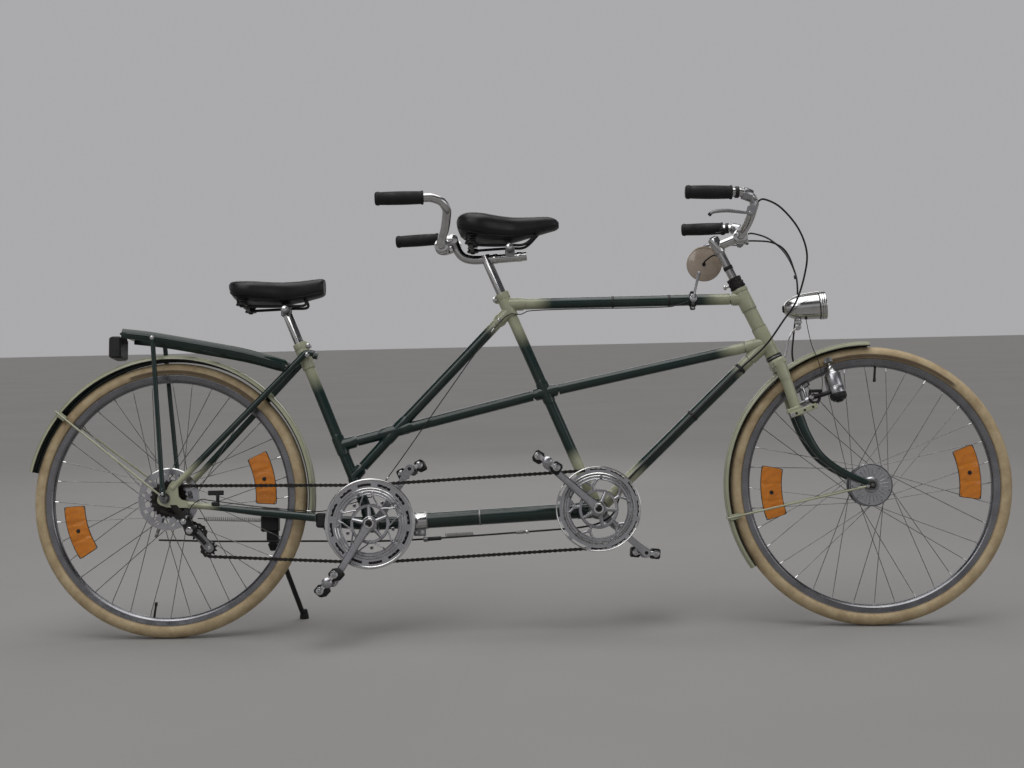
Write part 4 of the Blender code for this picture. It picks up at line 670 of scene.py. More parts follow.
# ---- wheels
TYRE_PROFILE = [(0.3192, 0.0124)]
for k in range(-22, 23):
    phi = math.radians(k * 5.4)
    rib = 0.00045 * math.cos(phi * 21) * (1 - ease(abs(k), 8, 11))
    TYRE_PROFILE.append((0.3308 + (0.0188 + rib) * math.cos(phi), -(0.0188 + rib) * math.sin(phi)))
TYRE_PROFILE.append((0.3192, -0.0124))
RIM_PROFILE = [(0.3188, 0.0124), (0.3190, 0.0129), (0.3176, 0.0131), (0.3165, 0.0127), (0.3075, 0.0126),
               (0.3050, 0.0118), (0.3008, 0.0072), (0.2994, 0.0035), (0.2988, 0.0)]
RIM_PROFILE += [(r, -y) for r, y in reversed(RIM_PROFILE[:-1])] + [(0.3170, -0.0112), (0.3160, 0.0), (0.3170, 0.0112)]


def wheel(b, hub, y_right, y_left, r_right, r_left):
    b.lathe(hub, RIM_PROFILE, RIM, 180)
    for k in range(36):
        y_f, r_f = (y_right, r_right) if k % 2 == 0 else (y_left, r_left)
        lead, side = (1 if (k // 2) % 2 == 0 else -1), (-1 if y_f < 0 else 1)
        a = TAU * k / 36
        h = a - lead * math.radians(58)
        p = polar(hub, r_f, h, y_f + side * lead * 0.0018)
        q = polar(hub, 0.3010, a, y_f * 0.06)
        b.rod(p, q, 0.0010, SPOKE, n=6)
        d = (q - p).normalized()
        b.rod(q - d * 0.0110, q + d * 0.0008, 0.0015, CHROME, 0.0021, n=8)
        b.rod(p + V(0, -side * lead * 0.0030, 0), p + V(0, side * lead * 0.0012, 0), 0.0013, SPOKE, 0.0020, n=8)
    valve = math.radians(85 if hub.x > 1 else 262)
    b.rod(polar(hub, 0.300, valve), polar(hub, 0.270, valve), 0.0030, BLACK, n=12, edge=0.0006)
    b.rod(polar(hub, 0.272, valve), polar(hub, 0.262, valve), 0.0038, BLACK, n=12, edge=0.0008)


for side, hub, body in (("front", FRONT_HUB, "front_wheel"), ("rear", REAR_HUB, "rear_wheel")):
    b = Piece(side + "_tyre.look", body, side + "_tyre", slot="tyre")

    def band(p, hub=hub):
        r, a = math.hypot(p.x - hub.x, p.z - hub.z), math.degrees(math.atan2(p.z - hub.z, p.x - hub.x))
        label = ease(a, 47, 49) * (1 - ease(a, 108, 110)) * (1 - ease(r, 0.3300, 0.3320)) * ease(r, 0.3222, 0.3236)
        return max(0.62 * (1 - ease(r, 0.3200, 0.3232)), 0.85 * label)
    b.lathe(hub, TYRE_PROFILE, TYRE, 240, tone=band)
    b.done(60)
    b = Piece(side + "_wheel.look", body, side + "_wheel", slot="alloy")
    if side == "rear":
        wheel(b, hub, -0.0190, 0.0310, 0.0345, 0.0465)
        b.lathe(hub, [(0.0062, -0.0208), (0.0062, 0.0490), (0.0492, 0.0490), (0.0500, 0.0480), (0.0500, 0.0330),
                      (0.0490, 0.0300), (0.0460, 0.0292), (0.0240, 0.0280), (0.0195, 0.0240), (0.0190, -0.0120),
                      (0.0230, -0.0165), (0.0400, -0.0172), (0.0405, -0.0200), (0.0385, -0.0208)], ALLOY, 72)
        b.cells(hub, [0.0420, 0.0500, 0.0620, 0.0700, 0.0780], 90,
                lambda i, k: not (i == 1 and k % 9 < 5) and not (i == 2 and k % 9 in (6, 7)), -0.0268, -0.0257, ALLOY)
        b.lathe(hub, [(0.0150, -0.0262), (0.0150, -0.0222), (0.0420, -0.0250), (0.0425, -0.0268)], ALLOY, 72)
        b.lathe(hub, [(0.0765, -0.0256), (0.0785, -0.0258), (0.0790, -0.0266), (0.0765, -0.0272)], CHROME, 90)
    else:
        wheel(b, hub, -0.0290, 0.0290, 0.0462, 0.0462)
        half = [(0.0060, 0.0350), (0.0165, 0.0350), (0.0172, 0.0340), (0.0200, 0.0320), (0.0440, 0.0313),
                (0.0480, 0.0316), (0.0530, 0.0313), (0.0536, 0.0305), (0.0536, 0.0276), (0.0528, 0.0270),
                (0.0200, 0.0268), (0.0172, 0.0240), (0.0168, 0.0100)]
        b.lathe(hub, half + [(r, -y) for r, y in reversed(half)], ALLOY, 90)
        for s in (-1, 1):
            for k in range(24):
                a = TAU * (k + 0.5) / 24
                b.rod(polar(hub, 0.0228, a, s * 0.0312), polar(hub, 0.0425, a, s * 0.0312), 0.0011, GREY_STEEL,
                      n=6)
            b.lathe(hub, [(0.0505, s * 0.0310), (0.0505, s * 0.0319), (0.0520, s * 0.0319), (0.0520, s * 0.0310)],
                    DARK_STEEL, 90)
    b.done()

for name, body, hub, mid, y0 in (("rear_reflector_forward", "rear_wheel", REAR_HUB, 11, -0.0105),
                                 ("rear_reflector_aft", "rear_wheel", REAR_HUB, 198, -0.0105),
                                 ("front_reflector_forward", "front_wheel", FRONT_HUB, 6, -0.0125),
                                 ("front_reflector_aft", "front_wheel", FRONT_HUB, 183, -0.0125)):
    b = Piece(name + ".look", body, name, slot="orange")
    rings, wide = [], 0.125 / 0.245
    for k in range(33):
        a = math.radians(mid) + (k / 32 - 0.5) * wide
        less = 0.0035 * (1 - ease(min(k, 32 - k), 0, 2))
        ridge = 0.0012 if k in (10, 11, 21, 22) else 0.0
        rings.append([polar(hub, r, a, y) for r, y in
                      ((0.2212 + less, y0), (0.2708 - less, y0), (0.2712 - less, y0 - 0.0025),
                       (0.2690 - less, y0 - 0.0045 + ridge), (0.2520, y0 - 0.0052 + ridge),
                       (0.2400, y0 - 0.0052 + ridge), (0.2230 + less, y0 - 0.0045 + ridge),
                       (0.2208 + less, y0 - 0.0025))])
    b.loft(rings, AMBER)
    edge = [polar(hub, r, math.radians(mid) - wide / 2, y0 - 0.0012) for r in (0.2255, 0.2665)]
    arc = [math.radians(mid) + (k / 24 - 0.5) * (wide - 0.0080) for k in range(25)]
    border = edge + [polar(hub, 0.2715, a, y0 - 0.0012) for a in arc]
    border += [polar(hub, r, arc[-1] + 0.0040, y0 - 0.0012) for r in (0.2665, 0.2255)]
    border += [polar(hub, 0.2205, a, y0 - 0.0012) for a in reversed(arc)] + edge[:1]
    b.sweep(border, 0.0014, BLACK, n=8, hint=V(0, 1, 0))
    hole = polar(hub, 0.2460, math.radians(mid), y0)
    b.rod(hole, hole + V(0, -0.0064, 0), 0.0052, BLACK, n=16, edge=0.0004)
    b.rod(hole + V(0, 0.0002, 0), hole + V(0, 0.0016, 0), 0.0080, AMBER, n=20, edge=0.0004)
    b.done()

b = Piece("freewheel.look", "freewheel", "freewheel", slot="chain")
for k, teeth in enumerate((16, 18, 20, 22, 24)):
    pitch = 0.0127 / 2 / math.sin(math.pi / teeth)
    y = Y_DRIVE + 0.0042 * k
    b.gear(REAR_HUB, teeth, pitch - 0.0022, 0.0160, y - 0.0009, y + 0.0009, DARK_STEEL, 0.0030)
b.lathe(REAR_HUB, [(0.0066, -0.0485), (0.0066, -0.0262), (0.0175, -0.0262), (0.0175, -0.0460), (0.0160, -0.0485)],
        DARK_STEEL, 48)
b.lathe(REAR_HUB, [(0.0068, -0.0492), (0.0068, -0.0480), (0.0120, -0.0480), (0.0125, -0.0492)], GREY_STEEL, 24)
b.done()


# ---- cranksets
def crank(b, bb, a, y_root, y_tip, s):
    """Tapered arm with a raised spine on its outer face, a cotterless eye and a pedal boss."""
    u, w = V(math.cos(a), 0, math.sin(a)), V(-math.sin(a), 0, math.cos(a))
    rows = ((-0.0150, 0.0060, 0.010), (-0.0120, 0.0120, 0.014), (-0.004, 0.0150, 0.0155), (0.006, 0.0150, 0.0158),
            (0.018, 0.0130, 0.0145), (0.034, 0.0108, 0.0130), (0.070, 0.0096, 0.0118), (0.105, 0.0088, 0.0108),
            (0.140, 0.0090, 0.0106), (0.156, 0.0108, 0.0114), (0.168, 0.0122, 0.0120), (0.176, 0.0095, 0.0116),
            (0.1800, 0.0045, 0.0100))
    rings = []
    for t, wide, thick in rows:
        y = y_root + (y_tip - y_root) * max(0.0, min(1.0, t / CRANK_L))
        c = bb + u * t + V(0, y, 0)
        rings.append([c + w * wide * sw + V(0, s * thick / 2 * sy, 0) for sw, sy in
                      ((-1, -0.5), (-0.85, -1), (0.85, -1), (1, -0.5), (1, 0.35), (0.72, 0.92), (0.2, 1.0), (-0.2, 1.0),
                       (-0.72, 0.92), (-1, 0.35))])
    b.loft(rings, ALLOY)
    y = y_root + s * 0.0072
    b.lathe(bb, [(0.0088, y), (0.0088, y + s * 0.0030), (0.0122, y + s * 0.0030), (0.0136, y + s * 0.0015), (0.0136, y)],
            CHROME, 40)
    b.rod(bb + V(0, y - s * 0.004, 0), bb + V(0, y + s * 0.0012, 0), 0.0089, BLACK, n=32)
    b.rod(bb + V(0, y, 0), bb + V(0, y + s * 0.0022, 0), 0.0050, DARK_STEEL, n=6, edge=0.0006)
    eye = polar(bb, CRANK_L, a, y_tip)
    b.rod(eye + V(0, s * 0.0050, 0), eye + V(0, s * 0.0068, 0), 0.0084, CHROME, n=28, edge=0.0006)
    b.rod(eye - V(0, s * 0.0048, 0), eye - V(0, s * 0.0066, 0), 0.0052, DARK_STEEL, n=6)


for side, bb, a, guard_in, guard_out in (("front", FRONT_BB, FRONT_CRANK, 0.0880, 0.1065),
                                         ("rear", REAR_BB, REAR_CRANK, 0.0880, 0.1135)):
    b = Piece(side + "_chainset.look", side + "_cranks", side + "_chainset", slot="alloy")
    b.gear(bb, 48, RING_PITCH - 0.0016, 0.0770, -0.0522, -0.0508, GREY_STEEL, 0.0034)
    if side == "rear":
        b.gear(bb, 48, RING_PITCH - 0.0016, 0.0770, -0.0447, -0.0433, GREY_STEEL, 0.0034)
        b.cells(bb, [guard_in - 0.003, 0.0945, 0.1010, 0.1060, guard_out], 144,
                lambda i, k: not (i == 1 and k % 12 < 8), -0.0575, -0.0560, ALLOY, a)
        b.lathe(bb, [(0.1060, -0.0574), (0.1085, -0.0585), (0.1118, -0.0583), (0.1135, -0.0572), (0.1135, -0.0560),
                     (0.1060, -0.0562)], CHROME, 144)
    else:
        b.cells(bb, [guard_in - 0.003, 0.0975, 0.1032, guard_out], 144,
                lambda i, k: not (i == 1 and k % 12 < 9), -0.0572, -0.0560, ALLOY, a)
        b.lathe(bb, [(0.1035, -0.0571), (0.1048, -0.0577), (0.1062, -0.0572), (0.1065, -0.0562), (0.1035, -0.0560)],
                CHROME, 144)
    for r in (0.0885, 0.0820, 0.0745):
        b.lathe(bb, [(r - 0.0017, -0.0572), (r, -0.0586), (r + 0.0017, -0.0572), (r, -0.0562)],
                ALLOY if r < 0.08 else CHROME, 120)
    b.lathe(bb, [(0.0720, -0.0572), (0.0872, -0.0572), (0.0872, -0.0535), (0.0720, -0.0535)], ALLOY, 120)
    b.lathe(bb, [(0.0420, -0.0570), (0.0485, -0.0578), (0.0500, -0.0560), (0.0485, -0.0545), (0.0420, -0.0550)],
            ALLOY, 90)
    for k in range(5):
        c = a + math.pi / 5 + k * TAU / 5
        if side == "rear":
            for bend in (-1, 1):
                arc = [polar(bb, 0.0470 + 0.029 * t, c + bend * (0.10 + 0.36 * math.sin(t * math.pi / 2)), -0.0560)
                       for t in (0, 0.2, 0.4, 0.6, 0.8, 1.0)]
                b.sweep(smooth(arc, 3), 0.0046, ALLOY, n=12, flat=0.45)
                b.rod(arc[-1] + V(0, 0.001, 0), arc[-1] + V(0, -0.0022, 0), 0.0052, ALLOY, n=20, edge=0.0005)
            p = polar(bb, 0.0600, c, -0.0545)
            b.rod(p + V(0, 0.001, 0), p + V(0, -0.0030, 0), 0.0050, ALLOY, n=20, edge=0.0006)
            b.rod(p + V(0, -0.0028, 0), p + V(0, -0.0036, 0), 0.0028, BLACK, n=16)
        else:
            b.rod(polar(bb, 0.0470, c, -0.0560), polar(bb, 0.0600, c, -0.0560), 0.0044, ALLOY, n=12)
            for bend in (-1, 1):
                b.rod(polar(bb, 0.0590, c, -0.0560), polar(bb, 0.0735, c + bend * 0.20, -0.0560), 0.0034, ALLOY, n=12)
            p = polar(bb, 0.0595, c, -0.0560)
            b.rod(p + V(0, 0.001, 0), p + V(0, -0.0034, 0), 0.0060, ALLOY, n=20, edge=0.0006)
        spoke_a = a + k * TAU / 5
        b.rod(polar(bb, 0.0150, spoke_a, -0.0600), polar(bb, 0.0445, spoke_a, -0.0560), 0.0058, ALLOY, 0.0042, n=14)
        q = polar(bb, 0.0800, spoke_a + 0.31, -0.0572)
        b.rod(q, q + V(0, -0.0024, 0), 0.0042, GREY_STEEL, n=6, edge=0.0004)
    b.rod(V(bb.x, -0.0620, bb.z), V(bb.x, 0.0440, bb.z), 0.0084, DARK_STEEL, n=24)
    b.rod(V(bb.x, -0.0400, bb.z), V(bb.x, -0.0680, bb.z), 0.0186, ALLOY, n=36, edge=0.0015)
    crank(b, bb, a, -0.0700, -0.0840, -1)
    b.done()
    b = Piece(side + "_crank_left.look", side + "_cranks", side + "_crank_left", slot="alloy")
    crank(b, bb, a + math.pi, 0.0560, 0.0760, 1)
    b.rod(bb + V(0, 0.0445, 0), bb + V(0, 0.0620, 0), 0.0140, ALLOY, n=32, edge=0.0012)
    b.done()

for name, body, bb, a, s, tilt in (("front_pedal_right", "front_pedal_right", FRONT_BB, FRONT_CRANK, -1, -33),
                                   ("front_pedal_left", "front_pedal_left", FRONT_BB, FRONT_CRANK + math.pi, 1, -6),
                                   ("rear_pedal_right", "rear_pedal_right", REAR_BB, REAR_CRANK, -1, 48),
                                   ("rear_pedal_left", "rear_pedal_left", REAR_BB, REAR_CRANK + math.pi, 1, 25)):
    b = Piece(name + ".look", body, name, slot="black")
    eye = polar(bb, CRANK_L, a, s * (0.0915 if s < 0 else 0.0835))
    t = math.radians(tilt)
    u, w = V(math.cos(t), 0, math.sin(t)), V(-math.sin(t), 0, math.cos(t))
    axes, out = (u, V(0, 1, 0), w), V(0, s, 0)
    b.rod(eye + out * 0.0005, eye + out * 0.0110, 0.0068, CHROME, n=24, edge=0.0008)
    b.rod(eye + out * 0.0110, eye + out * 0.0930, 0.0074, DARK_STEEL, n=20)
    for d, thick in ((0.0105, 0.0030), (0.0925, 0.0030)):
        b.box(eye + out * d, (0.066, thick, 0.0120), CHROME, axes, edge=0.0012)
        for x in (-0.026, 0.026):
            b.rod(eye + out * (d - 0.0016) + u * x, eye + out * (d + 0.0016) + u * x, 0.0094, CHROME, n=28, edge=0.0006)
            face = eye + out * (d + (0.0015 if d > 0.05 else -0.0030)) + u * x
            b.rod(face, face + out * 0.0022, 0.0046, ALLOY, n=6 if d < 0.05 else 20, edge=0.0006)
    cap = eye + out * 0.0925
    dome = [(0.0, 0.0128), (0.0030, 0.0126), (0.0052, 0.0105), (0.0066, 0.0070), (0.0072, 0.0026)]
    uu, vv = frame_of(out)
    b.loft([[cap + out * h + (uu * math.cos(TAU * i / 32) + vv * math.sin(TAU * i / 32)) * r for i in range(32)]
            for h, r in dome], ALLOY)
    for x in (-0.026, 0.026):
        rings = []
        for k in range(27):
            y = 0.0125 + (0.0900 - 0.0125) * k / 26
            groove = 0.0013 if k % 2 else 0.0
            end = 0.0012 if k in (0, 26) else 0.0
            hx, hz = 0.0118 - end, 0.0136 - groove - end
            rings.append([eye + out * y + u * (x + hx * cx) + w * hz * cz for cx, cz in
                          ((-1, -0.7), (-0.7, -1), (0.7, -1), (1, -0.7), (1, 0.7), (0.7, 1), (-0.7, 1), (-1, 0.7))])
        b.loft(rings, RUBBER)
    b.done(25)


# ---- chains: one link after another along the loop
def belt(circles):
    n, tangents, out = len(circles), [], []
    for k in range(n):
        (x0, z0, r0, s0), (x1, z1, r1, s1) = circles[k], circles[(k + 1) % n]
        dx, dz = x1 - x0, z1 - z0
        d = math.atan2(dz, dx) + math.asin((s0 * r0 - s1 * r1) / math.hypot(dx, dz))
        nx, nz = math.sin(d), -math.cos(d)
        tangents.append(((x0 + s0 * r0 * nx, z0 + s0 * r0 * nz), (x1 + s1 * r1 * nx, z1 + s1 * r1 * nz)))
    for k in range(n):
        x, z, r, s = circles[k]
        a_in, a_out = tangents[k - 1][1], tangents[k][0]
        a0 = math.atan2(a_in[1] - z, a_in[0] - x)
        span = (math.atan2(a_out[1] - z, a_out[0] - x) - a0) * s % TAU
        for i in range(41):
            a = a0 + s * span * i / 40
            out.append((x + r * math.cos(a), z + r * math.sin(a)))
    return out


def chain(name, circles, y):
    b = Piece(name + ".look", "frame", name, slot="chain")
    pts = belt(circles)
    pts.append(pts[0])
    steps = [0.0]
    for p, q in zip(pts, pts[1:]):
        steps.append(steps[-1] + math.dist(p, q))
    links = round(steps[-1] / 0.0127 / 2) * 2
    pins, k = [], 0
    for i in range(links):
        want = steps[-1] * i / links
        while steps[k + 1] < want:
            k += 1
        f = (want - steps[k]) / max(1e-9, steps[k + 1] - steps[k])
        pins.append(V(pts[k][0] + (pts[k + 1][0] - pts[k][0]) * f, y, pts[k][1] + (pts[k + 1][1] - pts[k][1]) * f))
    for i, p in enumerate(pins):
        q = pins[(i + 1) % links]
        d = (q - p).normalized()
        w, length = d.cross(V(0, 1, 0)), (q - p).length
        b.rod(p + V(0, -0.0030, 0), p + V(0, 0.0030, 0), 0.0036, DARK_STEEL, n=8)
        outer = 0.0030 if i % 2 else 0.0021
        outline = []
        for x0, start in ((length, -90), (0, 90)):
            for step in range(5):
                a = math.radians(start + step * 45)
                outline.append((x0 + 0.0046 * math.cos(a), 0.0046 * math.sin(a)))
            outline.append((length / 2, 0.0029 if x0 else -0.0029))
        for s in (-1, 1):
            rings = [[p + d * x + w * z + V(0, s * (outer + h), 0) for x, z in outline] for h in (0, 0.0009)]
            b.loft(rings, DARK_STEEL)
    b.done()


chain("timing_chain", [(REAR_BB.x, REAR_BB.z, RING_PITCH, -1), (FRONT_BB.x, FRONT_BB.z, RING_PITCH, -1)], Y_TIMING)
chain("drive_chain", [(0.0, HUB_Z, COG_PITCH, -1), (REAR_BB.x, REAR_BB.z, RING_PITCH, -1),
                      (TENSION.x, TENSION.z, JOCKEY_PITCH, -1), (GUIDE.x, GUIDE.z, JOCKEY_PITCH, 1)], Y_DRIVE)

# ---- derailleur and its pulleys
for name, c in (("guide_pulley", GUIDE), ("tension_pulley", TENSION)):
    b = Piece(name + ".look", name, name, slot="black_plastic")
    b.gear(c, 10, 0.0170, 0.0034, Y_DRIVE - 0.0011, Y_DRIVE + 0.0011, BLACK, 0.0034)
    b.lathe(c, [(0.0034, Y_DRIVE - 0.0032), (0.0080, Y_DRIVE - 0.0032), (0.0088, Y_DRIVE - 0.0022),
                (0.0088, Y_DRIVE + 0.0022), (0.0080, Y_DRIVE + 0.0032), (0.0034, Y_DRIVE + 0.0032)], DARK_STEEL, 36)
    b.done()
CAGE = (TENSION - GUIDE).normalized()
CAGE_W = V(-CAGE.z, 0, CAGE.x)


def cage_side(b, y0, y1, mat):
    pts = []
    for c, s in ((GUIDE, -1), (TENSION, 1)):
        for k in range(13):
            a = math.pi * k / 12
            p = c + (CAGE * 0.0105 * math.sin(a) - CAGE_W * 0.0105 * math.cos(a)) * s
            pts.append((p.x, p.z))
    b.plate(pts, y0, y1, mat, 0.0004)


b = Piece("derailleur.look", "frame", "derailleur", slot="chain")
cage_side(b, Y_DRIVE - 0.0062, Y_DRIVE - 0.0046, GREY_STEEL)
cage_side(b, Y_DRIVE + 0.0046, Y_DRIVE + 0.0062, GREY_STEEL)
b.rod(V(0.052, -0.0655, 0.291), V(0.052, -0.0850, 0.291), 0.0098, BLACK, n=28, edge=0.0012)
b.bolt(V(0.052, -0.0848, 0.291), V(0, -1, 0), 0.0052, CHROME, 0.0030)
b.box(V(0.0585, -0.0790, 0.2825), (0.019, 0.0130, 0.042), BLACK, (V(0.93, 0, 0.36), V(0, 1, 0), V(-0.36, 0, 0.93)),
      edge=0.003)
b.box(V(0.0680, -0.0740, 0.2880), (0.008, 0.0100, 0.036), DARK_STEEL, (V(0.93, 0, 0.36), V(0, 1, 0), V(-0.36, 0, 0.93)),
      edge=0.002)
b.rod(V(0.067, -0.0830, 0.2680), V(0.067, -0.0490, 0.2680), 0.0128, BLACK, n=32, edge=0.0015)
b.rod(V(0.067, -0.0830, 0.2680), V(0.067, -0.0862, 0.2680), 0.0090, CHROME, n=28, edge=0.0012)
b.rod(V(0.067, -0.0540, 0.2680), TENSION + V(-0.010, -0.0535, 0.012) - V(0, TENSION.y, 0), 0.0045, BLACK, n=14)
for c in (GUIDE, TENSION):
    b.rod(V(c.x, Y_DRIVE - 0.0070, c.z), V(c.x, Y_DRIVE + 0.0075, c.z), 0.0028, GREY_STEEL, n=16)
    b.rod(V(c.x, Y_DRIVE - 0.0060, c.z), V(c.x, Y_DRIVE - 0.0085, c.z), 0.0048, CHROME, n=6, edge=0.0006)
b.coil(V(0.0600, -0.0860, 0.3060), V(0.0600, -0.0860, 0.2980), 0.0026, 0.0006, 5, CHROME, 10, 5)
b.done()

# ---- fork, stem, bars
b = Piece("fork.look", "steering", "fork", slot="cream")
BLADE = smooth([V(1.5575, 0, 0.6605), V(1.572, 0, 0.620), V(1.586, 0, 0.574), V(1.602, 0, 0.523), V(1.621, 0, 0.474),
                V(1.652, 0, 0.425), V(1.700, 0, 0.387), V(1.764, 0, 0.3545)], 8)
for s in (-1, 1):
    pts = [p + V(0, s * (0.0475 + 0.0020 * k / (len(BLADE) - 1)), 0) for k, p in enumerate(BLADE)]
    radii = [0.0138 - 0.0064 * ease(k, 12, len(BLADE)) for k in range(len(BLADE))]
    b.sweep(pts, radii, PAINT, n=28, hint=V(0, 1, 0), tone=lambda p: ease(p.z, 0.528, 0.534))
    b.sweep([p + V(0, s * 0.0008, 0) for p in pts[:9]], [r + 0.0011 for r in radii[:8]] + [radii[8] + 0.0002], PAINT,
            n=28, hint=V(0, 1, 0), tone=1.0)
    b.plate([(1.750, 0.370), (1.742, 0.360), (1.752, 0.347), (1.768, 0.338), (1.782, 0.338), (1.787, 0.346),
             (1.786, 0.354), (1.776, 0.362), (1.764, 0.366)], s * 0.0470, s * 0.0520, GREY_STEEL)
    b.rod(FRONT_HUB + V(0, s * 0.0520, 0), FRONT_HUB + V(0, s * 0.0535, 0), 0.0130, SPOKE, n=28)
    b.rod(FRONT_HUB + V(0, s * 0.0530, 0), FRONT_HUB + V(0, s * 0.0600, 0), 0.0094, DARK_STEEL, n=6, edge=0.0010)
    b.rod(V(1.598, s * 0.0480, 0.556), V(1.629, s * 0.0480, 0.567), 0.0042, GREY_STEEL, n=16)
HEAD_X = V(math.sin(HEAD_ANGLE), 0, math.cos(HEAD_ANGLE))
CROWN = (HEAD_X, V(0, 1, 0), HEAD_AXIS)
b.box(head(0.0245), (0.036, 0.118, 0.022), PAINT, CROWN, edge=0.0055, tone=1.0)
b.box(head(0.0120), (0.030, 0.110, 0.010), PAINT, CROWN, edge=0.0030, tone=1.0)
b.rod(head(0.010), head(0.038), 0.0200, PAINT, n=36, edge=0.003, tone=1.0)
b.rod(FRONT_HUB + V(0, -0.0625, 0), FRONT_HUB + V(0, 0.0625, 0), 0.0044, SPOKE, n=20, edge=0.0006)
PLATE = (V(0.94, 0, 0.34), V(0, 1, 0), V(-0.34, 0, 0.94))
b.box(V(1.612, -0.0660, 0.5395), (0.070, 0.0060, 0.014), PAINT, PLATE, edge=0.0015, tone=0.9)
for d in (-0.020, 0.002, 0.024):
    c = V(1.612, -0.0690, 0.5395) + PLATE[0] * d
    b.rod(c, c + V(0, -0.0006, 0), 0.0032, BLACK, n=16)
b.bolt(V(1.612, -0.0690, 0.5395) + PLATE[0] * -0.030, V(0, -1, 0), 0.0038, CHROME, 0.004)
b.box(V(1.588, -0.0610, 0.5310), (0.024, 0.0100, 0.014), GREY_STEEL, PLATE, edge=0.0015)
b.box(V(1.588, -0.0480, 0.5420), (0.036, 0.0340, 0.013), PAINT, (V(0.95, 0, 0.31), V(0, 1, 0), V(-0.31, 0, 0.95)),
      edge=0.003, tone=0.95)
bracket = smooth([V(1.568, 0, 0.669), V(1.579, 0, 0.692), V(1.588, 0, 0.730), V(1.600, 0, 0.748),
                  V(1.612, 0, 0.757)], 5)
b.sweep(bracket, 0.0058, CHROME, n=14, flat=0.42, hint=V(0, 1, 0))
b.rod(V(1.612, -0.012, 0.757), V(1.612, 0.012, 0.757), 0.0075, CHROME, n=24, edge=0.0008)
b.bolt(V(1.612, -0.012, 0.757), V(0, -1, 0), 0.0042, CHROME, 0.004)
lead = smooth([V(1.6310, -0.0100, 0.7780), V(1.6350, -0.0180, 0.7450), V(1.6420, -0.0260, 0.7050),
               V(1.6560, -0.0420, 0.6600), V(1.6600, -0.0640, 0.6200), V(1.6560, -0.0700, 0.5800),
               V(1.6480, -0.0680, 0.5540)], 6)
b.sweep(lead, 0.0010, CABLE, n=6)
b.done()

b = Piece("stem.look", "steering", "stem", slot="chrome")
b.rod(head(0.2065), head(0.375), 0.0111, CHROME, n=32)
b.rod(head(0.296), head(0.306), 0.0122, BLACK, n=32, edge=0.0008)
for t0, t1, r, mat in ((0.2425, 0.2480, 0.0205, DARK_STEEL), (0.2475, 0.2540, 0.0190, BLACK),
                       (0.2535, 0.2590, 0.0200, DARK_STEEL), (0.2585, 0.2640, 0.0176, BLACK),
                       (0.2635, 0.2720, 0.0188, DARK_STEEL)):
    b.rod(head(t0), head(t1), r, mat, n=8 if mat is DARK_STEEL and t0 > 0.25 else 32, edge=0.0009)
knob = head(0.2530) + V(-0.018, 0, -0.004)
b.rod(knob + V(-0.001, -0.004, 0), knob + V(-0.009, -0.004, -0.002), 0.0036, CHROME, n=16, edge=0.0006)
b.rod(knob + V(-0.009, -0.004, -0.002), knob + V(-0.016, -0.004, -0.004), 0.0068, CHROME, n=24, edge=0.0020)
b.rod(head(0.345), head(0.388), 0.0148, CHROME, n=36, edge=0.0020)
b.rod(head(0.387), head(0.3915), 0.0092, DARK_STEEL, n=24, edge=0.0010)
b.rod(head(0.364), V(1.4735, 0, 0.9960), 0.0124, CHROME, 0.0116, n=28)
b.rod(V(1.4735, -0.0200, 0.9960), V(1.4735, 0.0200, 0.9960), 0.0187, CHROME, n=40, edge=0.0018)
for y in (-0.0135, 0.0135):
    b.rod(V(1.4735, y - 0.0012, 0.9960), V(1.4735, y + 0.0012, 0.9960), 0.0192, GREY_STEEL, n=40, edge=0.0006)
b.box(V(1.4860, 0, 0.9830), (0.014, 0.020, 0.012), CHROME, edge=0.002)
b.rod(V(1.4900, 0, 0.9890), V(1.4900, 0, 0.9750), 0.0042, DARK_STEEL, n=6, edge=0.0006)
b.sweep(smooth([head(0.335) + V(-0.004, 0.004, 0), V(1.405, 0.016, 0.953), V(1.388, 0.026, 0.945),
                V(1.380, 0.034, 0.938), V(1.378, 0.040, 0.932)], 6), 0.0021, BLACK, n=10)
b.done()


def bar_path(x0, z0, x_bend, z_bend, x_grip, z_grip, x_end, z_end, s):
    return [V(x0, 0, z0), V(x0, s * 0.024, z0), V(x0 + 0.002, s * 0.060, z0 + 0.001),
            V((x0 + x_bend) / 2 + 0.003, s * 0.125, z0 + (z_bend - z0) * 0.38),
            V(x_bend - 0.001, s * 0.190, z0 + (z_bend - z0) * 0.80),
            V(x_bend, s * 0.216, z_bend), V(x_bend - 0.012, s * 0.230, z_bend + (z_grip - z_bend) * 0.65),
            V(x_grip, s * 0.237, z_grip), V(x_end + 0.004, s * 0.250, z_end)]


def bar(b, args):
    left, right = [smooth(path[:-1], 8) + path[-1:] for path in (bar_path(*args, 1), bar_path(*args, -1))]
    b.sweep(list(reversed(right[1:])) + left, 0.0111, CHROME, n=24)


def grip(name, body, args, s):
    b = Piece(name + ".look", body, name, slot="black")
    path = bar_path(*args, s)
    a, e = path[-2], path[-1]
    d = (e - a).normalized()
    p, q = a + d * 0.018, e + d * 0.0072
    length = (q - p).length
    stops = [(-0.0004, 0.0122), (0.0, 0.0160), (0.0012, 0.0172), (0.0050, 0.0172), (0.0062, 0.0160)]
    for k in range(44):
        t = 0.0080 + (length - 0.0200) * k / 43
        swell = 0.0009 * math.sin(math.pi * k / 43)
        stops.append((t, 0.0157 + swell + (0.00035 if k % 2 else -0.00015)))
    stops += [(length - 0.0110, 0.0168), (length - 0.0070, 0.0170), (length - 0.0030, 0.0160), (length - 0.0008, 0.0132),
              (length, 0.0085)]
    b.sweep([p + d * t for t, _ in stops], [r for _, r in stops], RUBBER, n=32)
    b.done(40)


